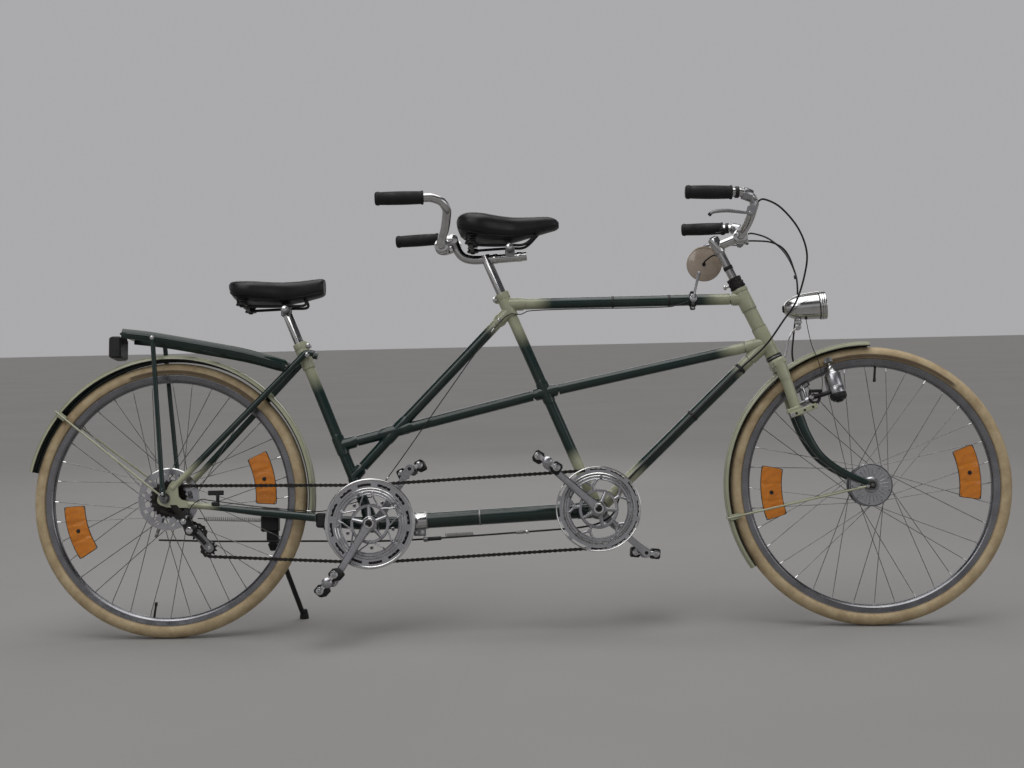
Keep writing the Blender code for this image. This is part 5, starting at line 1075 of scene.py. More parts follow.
CAPTAIN_BAR = (1.4735, 0.9960, 1.4960, 1.0420, 1.4600, 1.0630, 1.3320, 1.0660)
STOKER_BAR = (0.7020, 0.9900, 0.7290, 1.0400, 0.6930, 1.0630, 0.5600, 1.0600)
b = Piece("captain_handlebar.look", "steering", "captain_handlebar", slot="chrome")
bar(b, CAPTAIN_BAR)
for s in (-1, 1):
    y = s * 0.2270
    b.rod(V(1.467, s * 0.2350, 1.0622), V(1.488, s * 0.2270, 1.0548), 0.0152, ALLOY, n=28, edge=0.0014)
    b.rod(V(1.4490, s * 0.2385, 1.0635), V(1.4580, s * 0.2370, 1.0632), 0.0142, BLACK, n=28, edge=0.0010)
    body = smooth([V(1.4760, y, 1.0560), V(1.4880, y, 1.0480), V(1.4960, y, 1.0380), V(1.4950, y, 1.0270)], 5)
    b.sweep(body, [0.0105 - 0.0025 * k / (len(body) - 1) for k in range(len(body))], ALLOY, n=20, flat=0.78)
    for dy in (-0.0058, 0.0058):
        b.plate([(1.4790, 1.0290), (1.4755, 1.0180), (1.4790, 1.0090), (1.4880, 1.0070), (1.4950, 1.0120),
                 (1.5000, 1.0240), (1.4980, 1.0330)], y + dy - 0.0011, y + dy + 0.0011, ALLOY)
    b.rod(V(1.4850, y - 0.0082, 1.0140), V(1.4850, y + 0.0082, 1.0140), 0.0028, CHROME, n=16, edge=0.0006)
    b.rod(V(1.4940, y, 1.0330), V(1.5035, y, 1.0405), 0.0048, ALLOY, n=18, edge=0.0008)
    b.rod(V(1.4700, y - s * 0.0100, 1.0620), V(1.4700, y - s * 0.0140, 1.0600), 0.0034, CHROME, n=6)
b.rod(V(1.440, 0.2140, 1.0500), V(1.440, 0.2240, 1.0540), 0.0100, BLACK, n=28, edge=0.002)
b.sweep(smooth([V(1.440, 0.2150, 1.0500), V(1.432, 0.2060, 1.0460), V(1.420, 0.2030, 1.0440)], 5), 0.0030, BLACK, n=12)
b.done()
for side, s in (("right", -1), ("left", 1)):
    grip("captain_grip_" + side, "steering", CAPTAIN_BAR, s)
    b = Piece("brake_lever_" + side + ".look", "brake_lever_" + side, "brake_lever_" + side, slot="alloy")
    y = s * 0.2270
    blade = smooth([V(1.4910, y, 1.0140), V(1.470, y, 1.0150), V(1.430, y + s * 0.006, 1.0200),
                    V(1.398, y + s * 0.010, 1.0180), V(1.388, y + s * 0.011, 1.0125)], 8)
    b.sweep(blade, [0.0044 + 0.0018 * ease(k, 4, 18) - 0.0016 * ease(k, 24, 32) for k in range(len(blade))], ALLOY,
            n=20, flat=0.72, hint=V(0, 1, 0))
    b.rod(V(1.4850, y - 0.0040, 1.0140), V(1.4850, y + 0.0040, 1.0140), 0.0055, ALLOY, n=24, edge=0.0006)
    b.sweep(smooth([blade[-3], blade[-1], V(1.3850, y + s * 0.0112, 1.0095)], 3), 0.0046, BLACK, n=16)
    b.done()

b = Piece("stoker_handlebar.look", "captain_post", "stoker_handlebar", slot="chrome")
bar(b, STOKER_BAR)
b.done()
for side, s in (("right", -1), ("left", 1)):
    grip("stoker_grip_" + side, "captain_post", STOKER_BAR, s)

# ---- seat posts
b = Piece("captain_seatpost.look", "captain_post", "captain_seatpost", slot="chrome")
UP1, UP2 = SEAT1.normalized(), SEAT2.normalized()
post_head = FRONT_BB + SEAT1 * ((0.954 - 0.303) / 0.9228)
b.rod(SEAT1_TOP - SEAT1 * 0.150, post_head + UP1 * 0.010, 0.0126, CHROME, n=32, edge=0.001)
side_tube = smooth([V(0.921, 0, 0.9600), V(0.870, 0, 0.9560), V(0.818, 0, 0.9540), V(0.785, 0, 0.9530),
                    V(0.760, 0, 0.9590), V(0.745, 0, 0.9740), V(0.734, 0, 1.0010), V(0.729, 0, 1.0120)], 7)
b.sweep(side_tube, 0.0114, CHROME, n=28, hint=V(0, 1, 0))
for x in (0.9020, 0.8400):
    b.rod(V(x - 0.006, 0, 0.9585 + (x - 0.902) * 0.06), V(x + 0.006, 0, 0.9590 + (x - 0.902) * 0.06), 0.0128, CHROME,
          n=32, edge=0.0012)
b.rod(V(0.731, -0.0170, 1.0060), V(0.731, 0.0170, 1.0060), 0.0132, CHROME, n=36, edge=0.0014)
b.rod(V(0.728, 0, 1.0060), V(0.7020, 0, 0.9900), 0.0106, CHROME, n=24)
b.rod(V(0.7020, -0.0200, 0.9900), V(0.7020, 0.0200, 0.9900), 0.0182, CHROME, n=40, edge=0.0016)
for y in (-0.0140, 0.0140):
    b.rod(V(0.7020, y - 0.0012, 0.9900), V(0.7020, y + 0.0012, 0.9900), 0.0188, GREY_STEEL, n=40, edge=0.0005)
b.bolt(V(0.7180, -0.0090, 0.9760), V(0.5, 0, -0.86), 0.0046, CHROME, 0.007)


def saddle_clamp(b, c, half, z):
    """Clip that grips the rails: a block between two serrated cheeks on a cross bolt."""
    b.box(V(c.x, 0, c.z), (0.025, 0.024, 0.026), GREY_STEEL, edge=0.002)
    b.rod(V(c.x, -half, z), V(c.x, half, z), 0.0052, CHROME, n=20, edge=0.0006)
    for s in (-1, 1):
        for d, r in ((0.014, 0.0098), (0.019, 0.0108), (0.024, 0.0098)):
            b.rod(V(c.x, s * d, z), V(c.x, s * (d + 0.0045), z), r, GREY_STEEL, n=30, edge=0.0008)
        b.rod(V(c.x, s * (half - 0.0020), z), V(c.x, s * (half + 0.0030), z), 0.0082, CHROME, n=6, edge=0.0010)


saddle_clamp(b, V(0.8780, 0, 0.9700), 0.0300, 0.9800)
b.done()
b = Piece("stoker_seatpost.look", "stoker_post", "stoker_seatpost", slot="chrome")
top2 = SEAT2_TOP + SEAT2 * 0.098
b.rod(SEAT2_TOP - SEAT2 * 0.130, top2, 0.0126, CHROME, n=32, edge=0.001)
c = SEAT2_TOP + SEAT2 * 0.092
saddle_clamp(b, c, 0.0290, c.z + 0.002)
b.done()


# ---- saddles: a padded cover over rails, coil springs and a base plate
CAPTAIN_ROWS = ((0.00, 0.042, -0.018, -0.034), (0.03, 0.068, -0.006, -0.050), (0.12, 0.086, 0.001, -0.066),
                (0.25, 0.088, 0.000, -0.073), (0.40, 0.068, -0.005, -0.074), (0.55, 0.046, -0.008, -0.070),
                (0.72, 0.034, -0.007, -0.058), (0.88, 0.028, -0.006, -0.046), (0.96, 0.023, -0.011, -0.040),
                (1.00, 0.013, -0.020, -0.034))
STOKER_ROWS = ((0.00, 0.046, -0.014, -0.034), (0.04, 0.070, -0.009, -0.052), (0.12, 0.084, -0.008, -0.062),
               (0.25, 0.086, -0.009, -0.066), (0.40, 0.070, -0.010, -0.067), (0.55, 0.050, -0.010, -0.067),
               (0.72, 0.038, -0.008, -0.062), (0.88, 0.032, -0.004, -0.054), (0.97, 0.028, -0.002, -0.048),
               (1.00, 0.022, -0.004, -0.043))


def saddle(name, body, table, x0, x1, z_top, dz_nose, clamp_x, clamp_z):
    alongs = [p.x for p in smooth([V(row[0], 0, 0) for row in table], 6)]
    shapes = smooth([V(*row[1:]) for row in table], 6)
    rows = [(t, *shape) for t, shape in zip(alongs, shapes)]
    length = x1 - x0
    b = Piece(name + ".cover", body, name, slot="saddle_black")
    rings, edge_l, edge_r = [], [], []
    for t, half, up, down in rows:
        x, top, low = x0 + length * t, z_top + up + dz_nose * t, z_top + down + dz_nose * t
        ring = []
        for k in range(48):
            a = TAU * k / 48
            c, q = math.cos(a), math.sin(a)
            flare = 1.0 if q > 0 else 1.0 - 0.10 * abs(q) ** 3
            y = half * flare * math.copysign(abs(c) ** 0.75, c)
            z = (top + low) / 2 + (top - low) / 2 * math.copysign(abs(q) ** 0.7, q)
            z -= 0.0022 * math.exp(-(y / 0.010) ** 2) * ease(t, 0.05, 0.25) * (1 - ease(t, 0.55, 0.85)) * (q > 0)
            ring.append(V(x, y, z))
        rings.append(ring)
        if 0.02 < t < 0.985:
            seam = math.radians(-38)
            y = half * math.cos(seam) ** 0.75 * 0.985 + 0.0006
            z = (top + low) / 2 - (top - low) / 2 * math.sin(-seam) ** 0.7
            edge_l.append(V(x, y, z))
            edge_r.append(V(x, -y, z))
    b.loft(rings, VINYL)
    welt = edge_l + list(reversed(edge_r))
    b.sweep(welt, 0.0015, VINYL, n=8, closed=True)
    cover = b.done(40)
    b = Piece(name + ".frame", body)
    tail, nose = x0 + 0.014, x1 - 0.030
    base = z_top - 0.056
    for s in (-1, 1):
        rail = smooth([V(nose, s * 0.006, z_top - 0.036 + dz_nose), V(nose - 0.020, s * 0.012, z_top - 0.048),
                       V(clamp_x + 0.040, s * 0.020, clamp_z + 0.002), V(clamp_x, s * 0.0210, clamp_z),
                       V(clamp_x - 0.040, s * 0.024, clamp_z - 0.001), V(x0 + 0.050, s * 0.036, clamp_z - 0.001),
                       V(x0 + 0.036, s * 0.048, clamp_z)], 5)
        b.sweep(rail, 0.0036, BLACK, n=12)
        foot = V(x0 + 0.036, s * 0.056, clamp_z + 0.001)
        b.rod(foot + V(0, 0, -0.003), foot + V(0, 0, 0.001), 0.0150, BLACK, n=28, edge=0.0008)
        crest = V(foot.x, foot.y, base + 0.006)
        b.coil(foot, crest, 0.0118, 0.0021, 4.5, BLACK, 18, 8)
        b.rod(foot, crest, 0.0034, DARK_STEEL, n=12)
        b.rod(foot + V(0, 0, -0.0070), foot + V(0, 0, -0.0030), 0.0062, DARK_STEEL, n=6, edge=0.0006)
    b.sweep([V(x0 + 0.036, y, clamp_z - 0.001) for y in (-0.056, -0.03, 0, 0.03, 0.056)], 0.0048, BLACK, n=12, flat=0.5,
            hint=V(1, 0, 0))
    b.sweep(smooth([V(tail + 0.004, -0.036, base + 0.006), V(tail + 0.002, -0.018, base + 0.004), V(tail, 0, base + 0.004),
                    V(tail + 0.002, 0.018, base + 0.004), V(tail + 0.004, 0.036, base + 0.006)], 4), 0.0040, DARK_STEEL,
            n=10)
    b.box(V(nose - 0.004, 0, z_top - 0.038 + dz_nose), (0.030, 0.020, 0.010), DARK_STEEL, edge=0.002)
    b.done()


saddle("captain_saddle", "captain_post", CAPTAIN_ROWS, 0.743, 1.006, 1.0700, -0.004, 0.8780, 0.9860)
saddle("stoker_saddle", "stoker_post", STOKER_ROWS, 0.156, 0.396, 0.9140, 0.000, 0.3080, 0.8400)


# ---- mudguards: cream, with a dark bead along each edge and wire stays
def fender(name, body, hub, r, a0, a1, stay, tip_y):
    b = Piece(name + ".look", body, name, slot="cream")
    count = round(math.degrees(a1 - a0) / 2.5)
    section = [(-0.0120, -0.0268), (-0.0082, -0.0264), (-0.0045, -0.0247), (-0.0018, -0.0195), (-0.0003, -0.0110),
               (0.0, 0.0), (-0.0003, 0.0110), (-0.0018, 0.0195), (-0.0045, 0.0247), (-0.0082, 0.0264), (-0.0120, 0.0268),
               (-0.0118, 0.0256), (-0.0084, 0.0252), (-0.0052, 0.0238), (-0.0028, 0.0187), (-0.0013, 0.0108),
               (-0.0011, 0.0), (-0.0013, -0.0108), (-0.0028, -0.0187), (-0.0052, -0.0238), (-0.0084, -0.0252),
               (-0.0118, -0.0256)]
    angles = [a0 + (a1 - a0) * k / count for k in range(count + 1)]
    b.loft([[polar(hub, r + dr, a, y) for dr, y in section] for a in angles], PAINT,
           tone=lambda p: 0.0 if (p - V(hub.x, p.y, hub.z)).length < r - 0.0010 - 0.30 * (abs(p.y) - 0.013) and
           abs(p.y) < 0.0262 else 1.0)
    for y in (-0.0262, 0.0262):
        b.sweep([polar(hub, r - 0.0120, a, y) for a in angles], 0.0015, DARK_STEEL, n=8, hint=V(0, 1, 0))
    for y in (-0.0208, 0.0208):
        b.sweep([polar(hub, r - 0.0020, a, y) for a in angles], 0.0007, PAINT, n=6, hint=V(0, 1, 0), tone=0.8)
    b.sweep([polar(hub, r + 0.0000, a, 0) for a in angles], 0.0011, PAINT, n=6, hint=V(0, 1, 0), tone=1.0)
    root = polar(hub, r + 0.0010, stay)
    up = (root - hub).normalized()
    for s in (-1, 1):
        wire = [V(root.x, s * 0.0190, root.z) - up * 0.0012, V(root.x, s * 0.0262, root.z) - up * 0.0040,
                V(root.x, s * 0.0288, root.z) - up * 0.0130, polar(hub, 0.200, stay, s * (0.0290 + tip_y) / 2),
                polar(hub, 0.030, stay, s * tip_y), polar(hub, 0.013, stay, s * tip_y)]
        b.sweep(wire[:1] + smooth(wire[1:-1], 5) + wire[-1:], 0.0026, PAINT, n=12, tone=1.0)
        eye = polar(hub, 0.013, stay, s * tip_y)
        b.box(V(root.x, s * 0.0284, root.z) - up * 0.0190, (0.0260, 0.0020, 0.0150), PAINT,
              (up, V(0, 1, 0), up.cross(V(0, 1, 0))), edge=0.0008, tone=1.0)
        b.rod(eye - V(0, s * 0.0018, 0), eye + V(0, s * 0.0018, 0), 0.0056, SPOKE, n=20, edge=0.0004)
        b.rod(eye + V(0, s * 0.0018, 0), eye + V(0, s * 0.0046, 0), 0.0040, CHROME, n=6, edge=0.0005)
        b.bolt(V(root.x, s * 0.0230, root.z) - up * 0.0034, up * 0.6 + V(0, s * 0.8, 0), 0.0034, CHROME, 0.0030, False)
    b.sweep([V(root.x, y, root.z) + up * (0.0002 - abs(y) * 0.10) for y in (-0.020, -0.010, 0, 0.010, 0.020)], 0.0022,
            SPOKE, n=10, flat=0.6)
    b.done()


fender("front_mudguard", "steering", FRONT_HUB, 0.3640, math.radians(88), math.radians(214), math.radians(192), 0.0645)
fender("rear_mudguard", "frame", REAR_HUB, 0.3700, math.radians(-9.5), math.radians(168), math.radians(142), 0.0700)

# ---- rack and tail lamp
RACK = [V(-0.115, 0, 0.7730), V(-0.041, 0, 0.7630), V(0.054, 0, 0.7450), V(0.185, 0, 0.7180), V(0.262, 0, 0.6960)]
b = Piece("rear_rack.look", "frame", "rear_rack", slot="frame_green")
for s in (-1, 1):
    rail = smooth([p + V(0, s * 0.058, 0) for p in RACK] + [V(0.300, s * 0.0455, 0.6850)], 8)
    b.sweep(rail, 0.0125, PAINT, n=28, flat=0.45, hint=V(0, 0, 1))
    b.sweep([p + V(0, s * 0.0052, 0) for p in rail[2:-2]], 0.0022, PAINT, n=8, hint=V(0, 0, 1))
    p, q = V(-0.036, s * 0.0600, 0.7560), V(0.0, s * 0.0840, 0.3560)
    b.rod(p, q, 0.0060, PAINT, n=20)
    b.rod(p.lerp(q, 0.955), q + (q - p).normalized() * 0.0005, 0.0072, PAINT, n=20, edge=0.001)
    b.bolt(V(-0.036, s * 0.0655, 0.7600), V(0, s, 0), 0.0042, CHROME, 0.0040)
    b.rod(V(0.0, s * 0.0885, 0.3600), V(0.0, s * 0.0915, 0.3600), 0.0046, CHROME, n=6, edge=0.0005)
for k, (x, z) in enumerate(((-0.112, 0.7720), (-0.041, 0.7630), (0.054, 0.7450), (0.120, 0.7315), (0.185, 0.7180),
                            (0.262, 0.6960))):
    slope = V(0.975, 0, -0.222) if k > 1 else V(0.990, 0, -0.140)
    b.box(V(x, 0, z), (0.016 if k else 0.020, 0.112, 0.007), PAINT, (slope, V(0, 1, 0), slope.cross(V(0, 1, 0))), edge=0.002)
b.box(V(0.300, 0, 0.6895), (0.014, 0.094, 0.010), PAINT, edge=0.002)
b.bolt(V(0.300, 0, 0.6940), V(0, 0, 1), 0.0046, CHROME, 0.004)
clip = smooth([V(0.050, 0, 0.7510), V(0.020, 0, 0.7640), V(-0.030, 0, 0.7740), V(-0.090, 0, 0.7820),
               V(-0.108, 0, 0.7800)], 5)
for s in (-1, 1):
    b.sweep([p + V(0, s * 0.030, 0) for p in clip], 0.0026, SPOKE, n=10)
b.rod(V(-0.108, -0.030, 0.7800), V(-0.108, 0.030, 0.7800), 0.0026, SPOKE, n=10)
b.coil(V(0.052, -0.030, 0.7500), V(0.052, -0.012, 0.7500), 0.0048, 0.0011, 8, SPOKE, 12, 5)
b.coil(V(0.052, 0.012, 0.7500), V(0.052, 0.030, 0.7500), 0.0048, 0.0011, 8, SPOKE, 12, 5)
b.rod(V(0.052, -0.034, 0.7500), V(0.052, 0.034, 0.7500), 0.0030, DARK_STEEL, n=12)
b.done()
b = Piece("tail_lamp.look", "frame", "tail_lamp", slot="black_plastic")
b.box(V(-0.1405, 0, 0.7420), (0.0310, 0.070, 0.056), BLACK, edge=0.004)
b.box(V(-0.1270, 0, 0.7610), (0.010, 0.030, 0.020), BLACK, edge=0.002)
b.box(V(-0.1530, 0, 0.7420), (0.0090, 0.060, 0.046), RED, edge=0.002)
for k in range(9):
    z = 0.7420 + (k - 4) * 0.0048
    b.rod(V(-0.1572, -0.027, z), V(-0.1572, 0.027, z), 0.0012, RED, n=8)
b.done()

# ---- brakes
for side, s in (("right", -1), ("left", 1)):
    name = "front_brake_arm_" + side
    b = Piece(name + ".look", name, name, slot="alloy")
    pin = (V(1.6285, 0, 0.5668) - V(1.618, 0, 0.5630)).normalized()
    b.rod(V(1.618, s * 0.0480, 0.5630), V(1.6285, s * 0.0480, 0.5668), 0.0090, ALLOY, n=32, edge=0.001)
    b.rod(V(1.6285, s * 0.0480, 0.5668), V(1.6285, s * 0.0480, 0.5668) + pin * 0.0040, 0.0050, CHROME, n=6, edge=0.0006)
    b.sweep(smooth([V(1.623, s * 0.0480, 0.5650), V(1.618, s * 0.0440, 0.5850), V(1.613, s * 0.0360, 0.6000)], 7),
            0.0051, ALLOY, n=20, flat=0.75)
    b.rod(V(1.612, s * 0.0400, 0.5990), V(1.612, s * 0.0215, 0.5990), 0.0032, CHROME, n=20)
    b.rod(V(1.612, s * 0.0405, 0.5990), V(1.612, s * 0.0440, 0.5990), 0.0050, CHROME, n=6, edge=0.0006)
    b.box(V(1.612, s * 0.0190, 0.5990), (0.046, 0.0080, 0.011), RUBBER,
          (V(0.84, 0, 0.54), V(0, 1, 0), V(-0.54, 0, 0.84)), edge=0.0014)
    b.box(V(1.612, s * 0.0222, 0.5990), (0.040, 0.0022, 0.0085), GREY_STEEL,
          (V(0.84, 0, 0.54), V(0, 1, 0), V(-0.54, 0, 0.84)), edge=0.0008)
    b.done()
b = Piece("rear_brake_arm.look", "rear_brake_arm", "rear_brake_arm", slot="steel")
arm = smooth([V(-0.0340, 0.0675, 0.3260), V(-0.0380, 0.0675, 0.3100), V(-0.0560, 0.0690, 0.2620),
              V(-0.0580, 0.0690, 0.2560)], 8)
b.sweep(arm, [0.0064 - 0.0026 * ease(k, 4, 20) for k in range(len(arm))], GREY_STEEL, n=18, flat=0.55,
        hint=V(1, 0, 0))
b.rod(V(-0.0340, 0.0604, 0.3220), V(-0.0340, 0.0700, 0.3220), 0.0082, GREY_STEEL, n=30, edge=0.0008)
b.rod(V(-0.0340, 0.0700, 0.3220), V(-0.0340, 0.0735, 0.3220), 0.0050, CHROME, n=6, edge=0.0006)
b.rod(V(-0.0560, 0.0665, 0.2640), V(-0.0560, 0.0725, 0.2640), 0.0030, CHROME, n=6, edge=0.0005)
b.done()

# ---- headlight, dynamo, mirror, shift lever, stand
b = Piece("headlight.look", "steering", "headlight", slot="chrome")
shell = smooth([V(1.576, 0, 0.8040), V(1.580, 0, 0.8043), V(1.590, 0, 0.8050), V(1.606, 0, 0.8060),
                V(1.636, 0, 0.8080), V(1.668, 0, 0.8098)], 5)
radii = smooth([V(r, 0, 0) for r in (0.0060, 0.0140, 0.0222, 0.0282, 0.0318, 0.0330)], 5)
b.sweep(shell, [r.x for r in radii], CHROME, n=48, hint=V(0, 1, 0))
axis = V(0.9975, 0, 0.0706)
face = V(1.6700, 0, 0.8099)
for t, r0, r1, mat in ((-0.0050, 0.0342, 0.0342, DARK_STEEL), (-0.0025, 0.0347, 0.0352, CHROME),
                       (0.0030, 0.0352, 0.0352, CHROME), (0.0085, 0.0352, 0.0350, CHROME)):
    b.rod(face + axis * t, face + axis * (t + 0.0052), r0, mat, r1, n=56, edge=0.0009)
rings = []
uu, vv = frame_of(axis)
for h, r in ((0.0130, 0.0325), (0.0143, 0.0300), (0.0153, 0.0240), (0.0160, 0.0150), (0.0163, 0.0050)):
    rings.append([face + axis * h + (uu * math.cos(TAU * i / 48) + vv * math.sin(TAU * i / 48)) * r for i in range(48)])
b.loft(rings, LENS)
fin = smooth([V(1.6020, 0, 0.8330), V(1.6200, 0, 0.8385), V(1.6450, 0, 0.8425), V(1.6660, 0, 0.8445)], 5)
b.sweep(fin, 0.0032, CHROME, n=12, flat=0.55, hint=V(0, 0, 1))
b.rod(V(1.5790, 0, 0.8042), V(1.5735, 0, 0.8038), 0.0115, BLACK, 0.0075, n=28, edge=0.001)
b.rod(V(1.6120, 0, 0.7645), V(1.6140, 0, 0.7850), 0.0070, CHROME, n=24, edge=0.0008)
b.box(V(1.6125, 0, 0.7690), (0.017, 0.016, 0.010), CHROME, edge=0.002)
b.rod(V(1.6310, -0.0040, 0.7800), V(1.6315, -0.0150, 0.7765), 0.0034, BLACK, n=16, edge=0.0006)
b.done()

DYN_TOP, DYN_LOW = V(1.6800, -0.0345, 0.6640), V(1.7030, -0.0520, 0.5610)
dyn = (DYN_LOW - DYN_TOP).normalized()
b = Piece("dynamo.look", "dynamo", "dynamo", slot="alloy")
for t0, t1, r0, r1, mat in ((0.0150, 0.0245, 0.0080, 0.0086, CHROME), (0.0235, 0.0310, 0.0095, 0.0150, ALLOY),
                            (0.0300, 0.0370, 0.0150, 0.0203, ALLOY), (0.0360, 0.0700, 0.0205, 0.0208, ALLOY),
                            (0.0690, 0.0715, 0.0214, 0.0214, CHROME), (0.0705, 0.0880, 0.0209, 0.0212, ALLOY),
                            (0.0870, 0.0990, 0.0215, 0.0206, BLACK), (0.0980, 0.1040, 0.0206, 0.0150, BLACK),
                            (0.1030, 0.1080, 0.0110, 0.0080, BLACK)):
    b.rod(DYN_TOP + dyn * t0, DYN_TOP + dyn * t1, r0, mat, r1, n=44, edge=0.0005)
b.rod(DYN_TOP + dyn * 0.005, DYN_TOP + dyn * 0.020, 0.0027, CHROME, n=20)
b.sweep(smooth([DYN_TOP + dyn * 0.075, V(1.665, -0.0560, 0.5800), V(1.6350, -0.0560, 0.5730)], 6), 0.0072, BLACK, n=20,
        flat=0.8, hint=V(0, 1, 0))
b.coil(V(1.6440, -0.0520, 0.5755), V(1.6310, -0.0520, 0.5720), 0.0072, 0.0011, 5, GREY_STEEL, 12, 5)
b.rod(V(1.6320, -0.0632, 0.5725), V(1.6320, -0.0500, 0.5725), 0.0056, CHROME, n=24, edge=0.0008)
b.sweep(smooth([V(1.6290, -0.0575, 0.5860), V(1.6290, -0.0575, 0.5680), V(1.6350, -0.0575, 0.5600),
                V(1.6450, -0.0575, 0.5600), V(1.6520, -0.0575, 0.5680), V(1.6540, -0.0575, 0.5860)], 5), 0.0046, BLACK,
        n=14, flat=0.8)
b.box(V(1.6430, -0.0575, 0.5880), (0.034, 0.012, 0.008), BLACK, edge=0.002)
b.done()
b = Piece("dynamo_roller.look", "dynamo_roller", "dynamo_roller", slot="steel")
uu, vv = frame_of(dyn)
knurl = []
for t, less in ((-0.0080, 0.0016), (-0.0072, 0.0), (0.0038, 0.0), (0.0046, 0.0014)):
    knurl.append([DYN_TOP + dyn * t + (uu * math.cos(TAU * i / 60) + vv * math.sin(TAU * i / 60))
                  * (0.0105 - less - (0.0009 if i % 2 else 0)) for i in range(60)])
b.loft(knurl, GREY_STEEL)
b.rod(DYN_TOP - dyn * 0.0088, DYN_TOP - dyn * 0.0074, 0.0045, CHROME, n=20, edge=0.0004)
b.done()

b = Piece("mirror.look", "mirror", "mirror", slot="mirror")
c = V(1.3805, 0, 0.9360)
# The mirror disc and its rim use the beige material, whose colour is a painted reflection.
b.lathe(c, [(0.0428, 0.0412), (0.0450, 0.0416), (0.0460, 0.0432), (0.0460, 0.0462), (0.0446, 0.0475), (0.0428, 0.0470)],
        DISC_PAINTED_REFLECTION, 72)
b.rod(V(c.x, 0.0420, c.z), V(c.x, 0.0468, c.z), 0.0434, DISC_PAINTED_REFLECTION, n=72, edge=0.0008)
b.rod(V(1.3790, 0.0395, 0.9340), V(1.3800, 0.0425, 0.9350), 0.0048, BLACK, n=20, edge=0.0006)
b.done()
b = Piece("shift_lever.look", "shift_lever", "shift_lever", slot="alloy")
b.rod(V(1.345, -0.0218, TOP_Z), V(1.345, -0.0262, TOP_Z), 0.0092, ALLOY, n=32, edge=0.0010)
b.rod(V(1.345, -0.0260, TOP_Z), V(1.345, -0.0275, TOP_Z), 0.0052, CHROME, n=24, edge=0.0004)
lever = smooth([V(1.345, -0.0245, TOP_Z), V(1.351, -0.0255, 0.8600), V(1.360, -0.0290, 0.8950),
                V(1.362, -0.0295, 0.9020)], 7)
b.sweep(lever, [0.0032 + 0.0015 * ease(k, 8, 17) - 0.0010 * ease(k, 17, 21) for k in range(len(lever))], ALLOY, n=18)
b.done()

STAND_FOOT = FOOT
b = Piece("side_stand.look", "side_stand", "side_stand", slot="black_plastic")
b.rod(STAND_P - STAND_LEG * 0.002, STAND_FOOT, 0.0065, BLACK, n=28, edge=0.0006)
b.rod(STAND_P - STAND_A * 0.0068, STAND_P + STAND_A * 0.0080, 0.0110, BLACK, n=32, edge=0.0010)
b.rod(STAND_P + STAND_A * 0.0078, STAND_P + STAND_A * 0.0108, 0.0066, CHROME, n=6, edge=0.0008)
b.rod(STAND_FOOT + STAND_UP * 0.010, STAND_FOOT - STAND_UP * 0.0030, 0.0110, RUBBER, 0.0125, n=32, edge=0.0012)
b.rod(STAND_FOOT + STAND_UP * 0.022, STAND_FOOT + STAND_UP * 0.009, 0.0082, RUBBER, 0.0108, n=28, edge=0.0008)
b.done()

# ---- cables, held all the way
DT_DIR = (FRONT_BB - HEAD_LOW).normalized()
REAR_CABLE = [V(1.5040, -0.2270, 1.0400), V(1.5200, -0.2240, 1.0460), V(1.5610, -0.1950, 1.0300),
              V(1.6070, -0.1400, 0.9870), V(1.6300, -0.1000, 0.9330), V(1.6230, -0.0800, 0.8770),
              V(1.6010, -0.0640, 0.8140), V(1.5690, -0.0480, 0.7690), V(1.5220, -0.0300, 0.7070),
              HEAD_LOW + DT_DIR * 0.105 + V(0, -0.0205, 0), HEAD_LOW + DT_DIR * 0.20 + V(0, -0.0185, 0),
              HEAD_LOW + DT_DIR * 0.50 + V(0, -0.0185, 0), V(1.1420, -0.0230, 0.3300), V(1.1250, -0.0200, 0.2900),
              V(1.0900, -0.0150, 0.2680), V(1.0400, -0.0100, 0.2580), V(0.9800, -0.0080, 0.2540),
              V(0.8900, -0.0060, 0.2490), V(0.7600, -0.0050, 0.2420), V(0.6000, 0.0050, 0.2350),
              V(0.4800, 0.0200, 0.2340), V(0.3950, 0.0340, 0.2365), V(0.3200, 0.0440, 0.2380),
              V(0.2500, 0.0500, 0.2390), V(0.1000, 0.0570, 0.2420), V(0.0000, 0.0640, 0.2460), V(-0.0500, 0.0680, 0.2480)]
FRONT_CABLE = [V(1.5040, 0.2270, 1.0400), V(1.5200, 0.2240, 1.0440), V(1.5600, 0.1800, 1.0200), V(1.5940, 0.1100, 0.9700),
               V(1.6140, 0.0600, 0.9100), V(1.6180, 0.0420, 0.8600), V(1.6120, 0.0420, 0.8000), V(1.6020, 0.0400, 0.7300),
               V(1.5980, 0.0380, 0.6900), V(1.6040, 0.0350, 0.6500), V(1.6120, 0.0300, 0.6160)]
SHIFT_CABLE = [V(1.3340, -0.0240, 0.8290), V(1.3000, -0.0160, 0.8190), V(1.2500, -0.0080, 0.8165),
               V(0.9600, -0.0080, 0.8165), V(0.9050, -0.0190, 0.8050), V(0.8300, -0.0200, 0.7650),
               V(0.5550, -0.0200, 0.3900), V(0.5000, -0.0235, 0.3420), V(0.4400, -0.0310, 0.3230),
               V(0.4000, -0.0390, 0.3120), V(0.3600, -0.0410, 0.3120), V(0.2400, -0.0500, 0.3245),
               V(0.1200, -0.0578, 0.3420), V(0.0920, -0.0660, 0.3460), V(0.0720, -0.0790, 0.3300),
               V(0.0620, -0.0790, 0.3060)]
b = Piece("front_brake_cable.look", "steering", "front_brake_cable", slot="black_plastic")
b.sweep(smooth(FRONT_CABLE, 8), 0.0024, CABLE, n=14)
b.rod(FRONT_CABLE[-1] + V(-0.0010, 0, 0.010), FRONT_CABLE[-1], 0.0036, CHROME, n=20, edge=0.0005)
BAR_CABLE = [V(1.4900, 0.0300, 0.9900), V(1.5200, 0.0400, 0.9905), V(1.5550, 0.0550, 0.9885),
             V(1.5850, 0.0670, 0.9750), V(1.6030, 0.0660, 0.9480), V(1.6140, 0.0590, 0.9080)]
